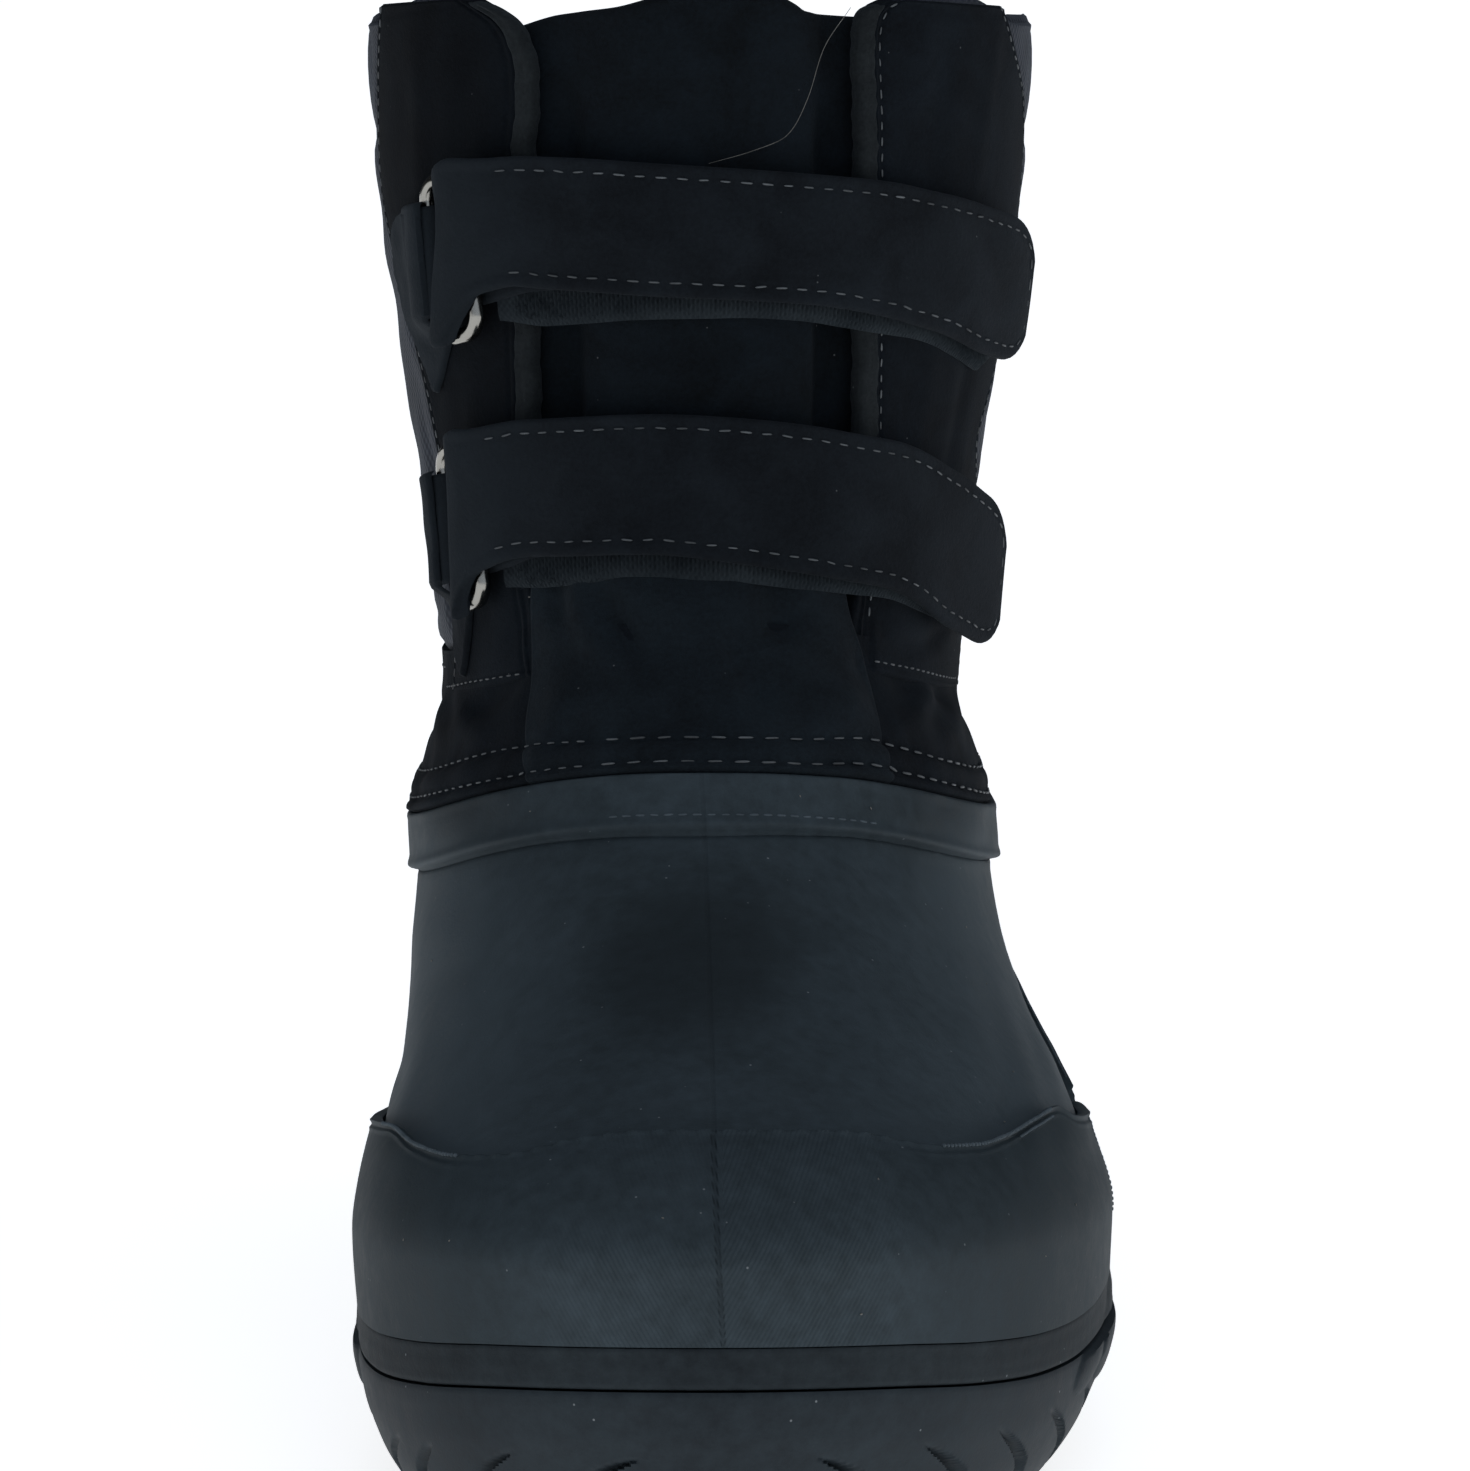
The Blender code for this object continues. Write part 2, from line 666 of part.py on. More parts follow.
def beside_bar(points, bar, frame, along, across, out):
    """Draws a folded strip straight where it turns round the bar of a loop. bar is the
    bar's middle with its place along and out; frame is the loop's own directions."""
    place, bar_along, bar_out = bar
    forward, upward = frame
    outward = np.cross(forward, upward)
    flat = (place + (along - bar_along)[..., None] * forward
            + across[..., None] * upward + (out - bar_out)[..., None] * outward)
    near, far = LOOP_REACH
    share = np.clip((np.abs(along - bar_along) - near) / (far - near), 0, 1)
    share = (share * share * (3 - 2 * share))[..., None]
    return flat * (1 - share) + points * share


class LegBelt:
    """A line round the leg along which straps run. Its height changes with the turn."""

    def __init__(self, heights, loop_turn):
        """heights: rows of (turn in degrees, z)."""
        self.loop_turn = loop_turn
        table = np.array(heights)
        self.turns = np.radians(np.linspace(-130, 130, 521))
        read = smooth_table(np.radians(table[:, 0]), table[:, 1:])
        self.z = read(self.turns)[:, 0]
        self.points = leg_surface(self.turns, self.z, 0.0)
        steps = np.linalg.norm(np.diff(self.points, axis=0), axis=1)
        self.length = np.concatenate([[0], np.cumsum(steps)])
        self.length -= np.interp(0.0, self.turns, self.length)

    def turn_at(self, along):
        return np.interp(along, self.length, self.turns)

    def point(self, along, across, out):
        """A point by its distance along the belt, across it and out from the leg."""
        turn = self.turn_at(along)
        z = np.interp(turn, self.turns, self.z) + across
        return leg_surface(turn, z, out)

    def along_at(self, turn):
        return np.interp(turn, self.turns, self.length)

    def locate(self, point):
        """Distance along and out from the leg of the point's nearest place."""
        gaps = np.linalg.norm(self.points - point, axis=1)
        near = int(gaps.argmin())
        return self.length[near], gaps[near]


# Middle lines of the straps: turn in degrees, height
UPPER_BELT = (
    (-130.0, 182.0), (-60.0, 183.0), (-45.0, 184.5), (-28.0, 188.6), (0.0, 190.0),
    (39.0, 187.6), (67.0, 179.5), (84.0, 176.5), (130.0, 171.0),
)
LOWER_BELT = (
    (-130.0, 136.5), (-62.0, 138.0), (-49.0, 140.0), (-30.0, 145.2), (0.0, 147.5),
    (33.0, 144.4), (52.0, 138.0), (78.0, 128.6), (90.0, 125.2), (130.0, 119.0),
)
# Where the tabs are sewn down: how far they go above and below the strap's middle, and
# how far past the loop's bar at their lower and at their upper edge
CHAPE_COLUMNS = ("above", "below", "low_reach", "high_reach")
UPPER_CHAPE = dict(zip(CHAPE_COLUMNS, (10.5, 19.0, 9.0, 19.0)))
LOWER_CHAPE = dict(zip(CHAPE_COLUMNS, (11.0, 17.0, 9.0, 9.0)))
UPPER_LOOP = math.radians(-42.0)   # turns of the two loops
LOWER_LOOP = math.radians(-46.5)
LOOP_OUT = 4.1            # from the leg to the middle of the wire
LOOP_REACH = (4.0, 14.0)  # a strap is straight within the first and free past the second
# Straps: turns of the sewn end and of the tip in degrees, how far the tip stands off
UPPER_STRAP = (96.0, 84.0, 0.5)
LOWER_STRAP = (98.0, 86.0, 2.5)


def loop_frame(belt):
    """Middle of the metal loop and its directions along the strap and across it."""
    along = belt.along_at(belt.loop_turn)
    middle = belt.point(along, 0.0, LOOP_OUT)
    forward = belt.point(along + 3.0, 0.0, 0.0) - belt.point(along - 3.0, 0.0, 0.0)
    upward = belt.point(along, 6.0, 0.0) - belt.point(along, -6.0, 0.0)
    forward = forward / np.linalg.norm(forward)
    upward = upward - forward * (upward @ forward)
    upward = upward / np.linalg.norm(upward)
    return middle, forward, upward


def build_loop(name, belt, parts, parent, material):
    """A nickel loop: round wire bent to a rounded rectangle."""
    middle, forward, upward = loop_frame(belt)
    corners = np.repeat([(1, 1), (-1, 1), (-1, -1), (1, -1)], 4, axis=0)
    angles = np.radians(np.arange(4)[:, None] * 90.0 + np.linspace(0, 90, 4)[None, :])
    bend = LOOP_CORNER * np.stack([np.cos(angles), np.sin(angles)], axis=-1).reshape(-1, 2)
    straight = np.array([LOOP_HALF_WIDTH, LOOP_HALF_HEIGHT]) - LOOP_CORNER
    flat = corners * straight + bend
    path = middle + flat[:, :1] * forward + flat[:, 1:] * upward
    curve = bpy.data.curves.new(name, "CURVE")
    curve.dimensions = "3D"
    curve.bevel_depth = WIRE / 2 * MM
    curve.bevel_resolution = 1
    spline = curve.splines.new("POLY")
    spline.points.add(len(path) - 1)
    for point, place in zip(spline.points, path):
        point.co = (*(place * MM), 1.0)
    spline.use_cyclic_u = True
    loop = bpy.data.objects.new(name, curve)
    loop.parent = parent
    parts.objects.link(loop)
    curve.materials.append(material)


def folded_path(bar_along, bar_out, side, thick, near_end, far_end, gap_below, lift):
    """The middle line of a strap that comes to a bar close to the leg, turns round it
    and runs back on top of itself. side is +1 where the strap lies ahead of the bar.
    lift is how far the outer end stands off. Returns distance along, out and the share
    of the way for each point."""
    under = gap_below + thick / 2
    radius = WIRE / 2 + FOLD_CLEARANCE + thick / 2
    radius = max(radius, bar_out - under)
    over = under + thick + GAP
    count = max(5, int(abs(near_end) / 7.0) + 1)
    start = np.linspace(near_end, 0.0, count)[:-1]
    rows = [(bar_along + side * s, under, 0.0) for s in start]
    for angle in np.linspace(-90, 90, 9):
        a = math.radians(angle)
        along = bar_along - side * radius * math.cos(a)
        rows.append((along, bar_out + radius * math.sin(a), 0.5))
    peak = bar_out + radius
    count = max(5, int(abs(far_end) / 6.0) + 1)
    for s in np.linspace(0.0, far_end, count)[1:]:
        settle = math.exp(-(s / 9.0) ** 2)
        rise = lift * max(0.0, (s / far_end - 0.72) / 0.28) ** 2
        rows.append((bar_along + side * s, over + (peak - over) * settle + rise, 1.0))
    return np.array(rows)


def strip_faces(path, thick):
    """The two faces of a strip: its middle line moved half its thickness each way."""
    way = np.gradient(path[:, :2], axis=0)
    way = way / np.linalg.norm(way, axis=1, keepdims=True)
    square = np.stack([-way[:, 1], way[:, 0]], axis=1) * thick / 2
    return path[:, :2] + square, path[:, :2] - square


def build_strap(name, belt, run, parts, parent, material):
    """One long strip: sewn to the outer side, across the front, through the loop and
    back over itself to a rounded end."""
    middle, forward, upward = loop_frame(belt)
    bar_place = middle + forward * LOOP_HALF_WIDTH
    bar_along, bar_out = belt.locate(bar_place)
    near_end = belt.along_at(math.radians(run[0])) - bar_along
    far_end = belt.along_at(math.radians(run[1])) - bar_along
    path = folded_path(bar_along, bar_out, 1, STRAP_THICK, near_end, far_end,
                       STRAP_CLEARANCE, run[2])
    face, back = strip_faces(path, STRAP_THICK)
    across = np.array([-1.0, -0.6, 0.0, 0.6, 1.0])
    half = STRAP_WIDTH / 2
    ends = np.clip((path[:, 0] - (bar_along + far_end - END_LENGTH)) / END_LENGTH, 0, 1)
    ends = np.where(path[:, 2] == 1.0, ends, 0.0)
    near_bar = np.exp(-((path[:, 0] - bar_along) / FOLD_SPREAD) ** 2)
    width = half * np.sqrt(1 - END_TAPER * ends ** 3) * (1 - FOLD_PINCH * near_bar)
    above_bar = np.clip((path[:, 1] - bar_out) / WIRE - 0.5, 0, 1) * (path[:, 2] > 0)
    flare = FOLD_FLARE * near_bar * above_bar
    grids = []
    for side in (face, back):
        along = np.repeat(side[:, :1], len(across), axis=1)
        out = np.repeat(side[:, 1:2], len(across), axis=1)
        sideways = width[:, None] * across[None, :]
        sideways = sideways - flare[:, None] * np.clip(-across[None, :], 0, 1)
        points = belt.point(along, sideways, out)
        bar = (bar_place, bar_along, bar_out)
        grids.append(beside_bar(points, bar, (forward, upward), along, sideways, out))
    mesh = walled_mesh(name, grids[0].transpose(1, 0, 2), grids[1].transpose(1, 0, 2))
    add_object(name, mesh, material, parts, parent)


def chape_across(distance, place, shape):
    """Half height of the tab: narrow inside the loop, taller where it is sewn down, and
    drawn out further at its lower end."""
    spread = np.clip((distance - CHAPE_NECK[0]) / (CHAPE_NECK[1] - CHAPE_NECK[0]), 0, 1)
    tall = np.where(place < 0, shape["below"], shape["above"])
    return (CHAPE_AT_BAR + (tall - CHAPE_AT_BAR) * spread) * place


def build_chape(name, belt, shape, parts, parent, material):
    """The short tab that holds the loop, folded round its rear bar and sewn down. Its
    rear edge slopes, so that the tab ends in a point at the bottom."""
    middle, forward, upward = loop_frame(belt)
    bar_place = middle - forward * LOOP_HALF_WIDTH
    bar_along, bar_out = belt.locate(bar_place)
    places = np.array([-1.0, -0.5, 0.0, 0.5, 1.0])[:, None]
    face_rows, back_rows = [], []
    for place in places[:, 0]:
        share = (place + 1) / 2
        reach = shape["low_reach"] * (1 - share) + shape["high_reach"] * share
        path = folded_path(bar_along, bar_out, -1, CHAPE_THICK, reach, reach,
                           STRAP_CLEARANCE, 0.0)
        face, back = strip_faces(path, CHAPE_THICK)
        face_rows.append(face)
        back_rows.append(back)
    grids = []
    for rows in (np.array(face_rows), np.array(back_rows)):
        along, out = rows[..., 0], rows[..., 1]
        height = chape_across(np.abs(along - bar_along), places, shape)
        points = belt.point(along, height, out)
        bar = (bar_place, bar_along, bar_out)
        grids.append(beside_bar(points, bar, (forward, upward), along, height, out))
    mesh = walled_mesh(name, grids[0], grids[1])
    add_object(name, mesh, material, parts, parent)


def main():
    for old in list(bpy.data.objects):
        bpy.data.objects.remove(old, do_unlink=True)
    parts = bpy.data.collections.new("stable_boot")
    cutters = bpy.data.collections.new("cutters")
    bpy.context.scene.collection.children.link(parts)
    bpy.context.scene.collection.children.link(cutters)
    boot = bpy.data.objects.new("boot", None)
    boot.location = (CENTRE_SHIFT[0] * MM, CENTRE_SHIFT[1] * MM, 0.0)
    parts.objects.link(boot)

    build_outsole(parts, cutters, boot, make_material("rubber"))
    build_midsole(parts, boot, make_material("rubber"))
    build_insole(parts, boot, make_material("lining"))
    build_upper(parts, boot, make_material("rubber"))
    build_shaft(parts, boot, make_material("suede"))
    build_tongue(parts, boot, make_material("suede"))
    build_overlays(parts, boot, make_material("rubber"))
    upper_belt = LegBelt(UPPER_BELT, UPPER_LOOP)
    lower_belt = LegBelt(LOWER_BELT, LOWER_LOOP)
    build_loop("loop_upper", upper_belt, parts, boot, make_material("nickel"))
    build_loop("loop_lower", lower_belt, parts, boot, make_material("nickel"))
    build_chape("chape_upper", upper_belt, UPPER_CHAPE, parts, boot, make_material("suede"))
    build_chape("chape_lower", lower_belt, LOWER_CHAPE, parts, boot, make_material("suede"))
    build_strap("strap_upper", upper_belt, UPPER_STRAP, parts, boot, make_material("suede"))
    build_strap("strap_lower", lower_belt, LOWER_STRAP, parts, boot, make_material("suede"))


main()
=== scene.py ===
# %% [markdown]
# # A stable boot, finished piece by piece
# This is a short winter boot for mucking out: a moulded rubber shell on a lugged sole, a
# suede and nylon leg, a padded tongue and two straps folded back through nickel loops.
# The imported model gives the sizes. Here each soft or moulded piece is drawn again, finely,
# from the same form, and gets the finish of the real material.

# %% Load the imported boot
import math

import bpy
import numpy as np
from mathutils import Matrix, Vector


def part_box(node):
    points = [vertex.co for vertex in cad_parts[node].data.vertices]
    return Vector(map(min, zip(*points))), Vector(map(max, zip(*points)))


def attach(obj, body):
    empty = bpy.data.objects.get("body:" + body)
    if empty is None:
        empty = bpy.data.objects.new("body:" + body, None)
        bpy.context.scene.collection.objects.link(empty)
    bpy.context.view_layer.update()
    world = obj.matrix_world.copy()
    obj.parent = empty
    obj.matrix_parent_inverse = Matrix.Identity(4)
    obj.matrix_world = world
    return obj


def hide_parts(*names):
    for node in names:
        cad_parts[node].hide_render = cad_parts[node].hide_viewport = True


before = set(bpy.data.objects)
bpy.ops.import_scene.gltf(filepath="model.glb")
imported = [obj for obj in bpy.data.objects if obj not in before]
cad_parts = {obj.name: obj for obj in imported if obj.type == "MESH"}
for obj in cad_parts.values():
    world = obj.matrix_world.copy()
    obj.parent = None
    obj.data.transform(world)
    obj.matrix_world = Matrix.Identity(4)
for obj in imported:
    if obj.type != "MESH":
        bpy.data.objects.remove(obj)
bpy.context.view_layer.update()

MM = 0.001
for node in sorted(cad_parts):
    low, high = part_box(node)
    print(node, [round(c / MM, 1) for c in low], [round(c / MM, 1) for c in high])

# %% [markdown]
# ## One form for the whole boot
# A last maker describes a boot by its level lines: loops round the foot at the feather
# edge, over the toe, round the ankle, at each strap and at the collar. Each row below is
# one of them. A place on the boot is then two numbers, its level and its turn round the
# foot (0 at the toe, 90 degrees at the outer side), and everything that lies on the boot,
# from a seam to a strap, can be placed by them. It could be sculpted by eye, but then no
# two layers would fit each other.

# %% Level lines and sole heights in millimetres
FORM_SHIFT = np.array([1.75, -0.52, 0.0])   # from the form's own middle to the model's
SOLE_STATIONS = np.array((                   # y, tread height, height of the shell's edge
    (-150.0, 13.0, 40.0), (-135.0, 8.2, 37.0), (-118.0, 3.9, 33.4), (-100.0, 1.2, 30.6),
    (-80.0, 0.0, 29.0), (-40.0, 0.0, 28.2), (20.0, 0.0, 29.0), (70.0, 0.0, 32.6),
    (110.0, 0.0, 35.6), (150.0, 0.0, 38.0),
))
LEVEL_COLUMNS = (
    "front_z", "side_z", "back_z", "front_y", "back_y", "front_x", "back_x",
    "inner_half", "outer_half", "inner_widest", "outer_widest",
    "inner_round", "outer_round", "back_round", "inner_waist", "outer_waist",
)
LEVELS = np.array((
    (39.5, 28.5, 38, -144, 144, -3, -4, 54.0, 61.5, .30, .37, 2.3, 1.9, 2.4, 8, 3),   # 0 feather
    (51, 37, 47, -145, 145, -3, -4, 54.5, 62.0, .30, .38, 2.3, 1.9, 2.4, 7, 3),       # 1 wall
    (61, 46, 60, -134, 146, -4, -4, 52.5, 60.0, .31, .38, 2.3, 2.0, 2.3, 6, 3),       # 2 toe
    (68, 53, 69, -111, 145, -4, -4, 51.0, 57.0, .33, .38, 2.2, 2.0, 2.3, 4, 2),       # 3 cap
    (81, 62, 77, -73, 143, -5, -4, 49.5, 52.5, .37, .40, 2.2, 2.1, 2.3, 2, 1),        # 4 vamp
    (98, 79, 88, -37, 140, -6, -4, 49.0, 49.0, .42, .43, 2.1, 2.1, 2.3, 0, 0),        # 5 band, low
    (106, 88, 97, -31, 139, -6, -4, 50.0, 49.0, .44, .44, 2.1, 2.1, 2.3, 0, 0),       # 6 band, top
    (114, 99, 108, -23, 139, -6, -4, 47.6, 46.0, .45, .45, 2.1, 2.1, 2.2, 0, 0),      # 7 puff
    (123, 109, 119, -14, 137, -6, -4, 45.0, 43.5, .46, .46, 2.1, 2.1, 2.2, 0, 0),     # 8 ankle
    (147, 138, 141, -6, 135, -6, -4, 48.5, 46.5, .50, .50, 2.1, 2.1, 2.1, 0, 0),      # 9 low strap
    (190, 181, 181, 0, 136, -6, -4, 55.0, 53.0, .50, .50, 2.1, 2.1, 2.1, 0, 0),       # 10 top strap
    (230, 226, 221, 4, 138, -6, -4, 59.0, 57.0, .50, .50, 2.1, 2.1, 2.1, 0, 0),       # 11 collar
), float)
SIDE_AT = 0.52           # share of the length at which side_z is measured
WAIST_AT = 0.60
WAIST_SPREAD = 0.13
GAP = 0.3                # mm between one layer of the sole and the next
SMALL_TURN = 0.004       # radians, for slopes measured on the form


def smooth_table(places, values):
    """One smooth curve through a table's rows. Each stretch is a cubic between two rows,
    and the slope at a row is the weighted harmonic mean of the slopes on either side, or
    zero at a peak, so that the curve never swings past a row."""
    places, values = np.asarray(places, float), np.asarray(values, float)
    if values.ndim == 1:
        return lambda at: smooth_table(places, values[:, None])(at)[..., 0]
    steps = np.diff(places)
    rises = np.diff(values, axis=0) / steps[:, None]
    slopes = np.zeros_like(values)
    slopes[0], slopes[-1] = rises[0], rises[-1]
    before, after = rises[:-1], rises[1:]
    one = (2 * steps[1:] + steps[:-1])[:, None]
    two = (steps[1:] + 2 * steps[:-1])[:, None]
    same = before * after > 0
    mean = (one + two) / (one / np.where(same, before, 1.0) + two / np.where(same, after, 1.0))
    slopes[1:-1] = np.where(same, mean, 0.0)

    def read(at):
        at = np.asarray(at, float)
        row = np.clip(np.searchsorted(places, at, side="right") - 1, 0, len(places) - 2)
        width = (places[row + 1] - places[row])[..., None]
        t = (at[..., None] - places[row][..., None]) / width
        return ((2 * t**3 - 3 * t**2 + 1) * values[row] + (t**3 - 2 * t**2 + t) * width * slopes[row]
                + (3 * t**2 - 2 * t**3) * values[row + 1] + (t**3 - t**2) * width * slopes[row + 1])

    return read


read_sole = smooth_table(SOLE_STATIONS[:, 0], SOLE_STATIONS[:, 1:])
read_level = smooth_table(np.arange(len(LEVELS)), LEVELS)
print("level lines:", len(LEVELS), "sole stations:", len(SOLE_STATIONS))

# %% The form itself
def tread_height(y):
    return read_sole(y)[..., 0]


def sole_top(y):
    return read_sole(y)[..., 1]


def height_along(row, along):
    """A level line's height: side_z plus two parabolas that rise to its front and back."""
    to_front = np.clip(1 - along / SIDE_AT, 0, 1) ** 2
    to_back = np.clip((along - SIDE_AT) / (1 - SIDE_AT), 0, 1) ** 2
    return (row["side_z"] + (row["front_z"] - row["side_z"]) * to_front
            + (row["back_z"] - row["side_z"]) * to_back)


def level_row(level):
    return dict(zip(LEVEL_COLUMNS, np.moveaxis(read_level(level), -1, 0)))


def bare_surface(level, turn):
    """The outside of the boot. along = (1 - cos turn) / 2 runs from toe to heel, and the
    half width is a quarter superellipse up to the widest point and another back to the heel,
    less a dip at the waist of the foot."""
    level, turn = np.broadcast_arrays(np.asarray(level, float), np.asarray(turn, float))
    row = level_row(level)
    along = (1 - np.cos(turn)) / 2
    outer = np.sin(turn) >= 0
    pick = lambda name: np.where(outer, row["outer_" + name], row["inner_" + name])
    widest, power = pick("widest"), pick("round")
    front = (1 - np.clip(1 - along / widest, 0, 1) ** power) ** (1 / power)
    blunt = row["back_round"]
    back = (1 - np.clip((along - widest) / (1 - widest), 0, 1) ** blunt) ** (1 / blunt)
    reach = np.where(along < widest, front, back) * pick("half")
    reach = reach - pick("waist") * np.exp(-((along - WAIST_AT) / WAIST_SPREAD) ** 2)
    x = row["front_x"] + (row["back_x"] - row["front_x"]) * along + np.where(outer, reach, -reach)
    y = row["front_y"] + (row["back_y"] - row["front_y"]) * along
    rise = sole_top(y) + GAP - height_along(dict(zip(LEVEL_COLUMNS, LEVELS[0])), along)
    z = height_along(row, along) + rise * np.clip(1 - level, 0, 1.1)
    return np.stack([x, y, z], axis=-1)


def unit(vectors):
    return vectors / np.maximum(np.linalg.norm(vectors, axis=-1, keepdims=True), 1e-9)


def surface_normal(level, turn):
    """Square to the outside: the way round crossed with the way up."""
    round_way = bare_surface(level, turn + SMALL_TURN) - bare_surface(level, turn - SMALL_TURN)
    up_way = bare_surface(level + 0.01, turn) - bare_surface(level - 0.01, turn)
    return unit(np.cross(round_way, up_way))


def boot_surface(level, turn, out):
    """Points `out` mm outside the boot's own surface, along its normal."""
    level, turn, out = np.broadcast_arrays(*(np.asarray(a, float) for a in (level, turn, out)))
    return bare_surface(level, turn) + surface_normal(level, turn) * out[..., None]


LEG_FROM, LEG_TO, HALVINGS = 5.6, 11.15, 25      # levels a belt may lie between


def level_at_height(turn, z):
    """The leg's level that passes height z, by halving the interval between the lowest and
    highest level again and again, at once for every point."""
    turn, z = np.broadcast_arrays(np.asarray(turn, float), np.asarray(z, float))
    low, high = np.full(z.shape, LEG_FROM), np.full(z.shape, LEG_TO)
    along = (1 - np.cos(turn)) / 2
    for _ in range(HALVINGS):
        middle = (low + high) / 2
        under = height_along(level_row(middle), along) < z
        low, high = np.where(under, middle, low), np.where(under, high, middle)
    return (low + high) / 2


def turn_for_reach(level, reach, outer):
    """The turn at which a level line is `reach` mm to one side of the middle line."""
    row, side = level_row(np.asarray(level, float)), "outer" if outer else "inner"
    power = row[side + "_round"]
    share = np.abs(reach) / row[side + "_half"]
    along = row[side + "_widest"] * (1 - (1 - share ** power) ** (1 / power))
    return np.arccos(1 - 2 * along) * (1 if outer else -1)


def front_zero(turns):
    """Turns past the heel read as negative, so that 0 is the toe and the outer side positive."""
    return np.where(turns > np.pi, turns - 2 * np.pi, turns)


def whole_turn(count):
    """`count` even turns all the way round the boot."""
    return front_zero(np.arange(count) * 2 * np.pi / count)


def by_degrees(rows):
    """A smooth table read by turn in degrees, taking and giving whole arrays."""
    rows = np.array(rows, float)
    read = smooth_table(rows[:, 0], rows[:, 1])
    return lambda turn: read(np.degrees(turn))


drawn = bare_surface(1.0, np.radians(90.0)) + FORM_SHIFT

# %% [markdown]
# ## From arrays of points to meshes
# Each piece is a grid of points with rows up the piece and columns round it, worked out
# whole. The faces are numbers in the same grid, so they can be made by adding arrays, and
# `foreach_set` hands everything to Blender at once. A wall is one grid for its outside
# and one for its inside, rolled into a closed loop, so it can't leak. Each wall also gets
# a map in millimetres, across and up the cloth, for weaves that must follow it.

# %% Mesh helpers
def lattice(rows, columns, wrap_rows=False, wrap_columns=False):
    """Corner numbers of a grid's cells, and the same for the unrolled grid that UVs use."""
    r = np.arange(rows if wrap_rows else rows - 1)[:, None]
    c = np.arange(columns if wrap_columns else columns - 1)[None, :]
    up, right = (r + 1) % rows, (c + 1) % columns
    here, above = r * columns, up * columns
    faces = np.stack([here + c, here + right, above + right, above + c], -1)
    wide = columns + (1 if wrap_columns else 0)
    flat = np.stack([r * wide + c, r * wide + c + 1, (r + 1) * wide + c + 1, (r + 1) * wide + c], -1)
    return faces.reshape(-1, 4), flat.reshape(-1, 4)


def finish_piece(name, points, faces, materials, node=None, uv=None, pick=None, sharp=42):
    """Puts points in mm and faces (arrays of equal-sided faces) into a mesh object at the
    origin, which rides on the boot and may stand for a CAD node. uv: one row per corner.
    pick: each face's material. sharp: the angle in degrees past which an edge is creased."""
    mesh = bpy.data.meshes.new(name)
    groups = [np.asarray(g, np.int32) for g in (faces if isinstance(faces, list) else [faces])]
    corners = np.concatenate([g.ravel() for g in groups])
    sizes = np.concatenate([np.full(len(g), g.shape[1], np.int32) for g in groups])
    mesh.vertices.add(len(points))
    mesh.vertices.foreach_set("co", ((points + FORM_SHIFT) * MM).astype(np.float32).ravel())
    mesh.loops.add(len(corners))
    mesh.loops.foreach_set("vertex_index", corners)
    mesh.polygons.add(len(sizes))
    starts = np.concatenate([[0], np.cumsum(sizes)[:-1]])
    mesh.polygons.foreach_set("loop_start", starts.astype(np.int32))
    if pick is not None:
        mesh.polygons.foreach_set("material_index", np.asarray(pick, np.int32))
    mesh.update(calc_edges=True)
    if uv is not None:
        mesh.uv_layers.new(name="cloth_mm").data.foreach_set("uv", uv.astype(np.float32).ravel())
    mesh.validate()
    mesh.shade_smooth()
    mesh.set_sharp_from_angle(angle=math.radians(sharp))
    piece = bpy.data.objects.new(name, mesh)
    bpy.context.scene.collection.objects.link(piece)
    for material in materials if isinstance(materials, tuple) else [materials]:
        mesh.materials.append(material)
    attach(piece, "root")
    if node:
        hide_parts(node)
    print(f"{name}: {int((sizes - 2).sum())} triangles")
    return piece


def running(points, axis):
    """Distance along a grid in mm: the running sum of the steps between its points."""
    steps = np.linalg.norm(np.diff(points, axis=axis), axis=-1)
    start = np.zeros_like(np.take(steps, [0], axis=axis))
    return np.concatenate([start, np.cumsum(steps, axis=axis)], axis=axis)


def round_length(line):
    """Distance along a closed line of points, with the way back to its start at the end."""
    length = running(line[None], 1)[0]
    return np.append(length, length[-1] + np.linalg.norm(line[0] - line[-1]))


def wall_piece(name, outer, inner, materials, slot, node=None, closed=False):
    """A wall between two grids. Rows go up the outside and down the inside as one closed
    loop. A closed wall also joins round the boot, and an open one gets a strip at each end.
    Where two materials are given, the second is the inside's."""
    rows, columns = outer.shape[:2]
    grid = np.concatenate([outer, inner[::-1]])
    faces, flat = lattice(2 * rows, columns, True, closed)
    across = round_length(outer[rows // 2])[:None if closed else -1]
    up = running(outer[:, columns // 3:columns // 3 + 1], 0)[:, 0]
    up = np.concatenate([up, up[::-1], up[:1]])
    sheet = np.stack(np.broadcast_arrays(across[None, :], up[:, None]), -1).reshape(-1, 2)
    uv = sheet[flat.ravel()]
    pick = np.repeat(np.arange(2 * rows) >= rows, len(faces) // (2 * rows)).astype(int)
    if not closed:
        r = np.arange(rows - 1)
        out_low, out_high = r * columns, (r + 1) * columns
        in_low, in_high = (2 * rows - 1 - r) * columns, (2 * rows - 2 - r) * columns
        last = columns - 1
        first_end = np.stack([out_low, out_high, in_high, in_low], -1)
        last_end = np.stack([out_high + last, out_low + last, in_low + last, in_high + last], -1)
        faces = np.concatenate([faces, first_end, last_end])
        uv = np.concatenate([uv, np.zeros((8 * len(r), 2))])
        pick = np.concatenate([pick, np.zeros(2 * len(r), int)])
    if not isinstance(materials, tuple):
        pick = None
    return finish_piece(name, grid.reshape(-1, 3), faces, materials, node, uv, pick)


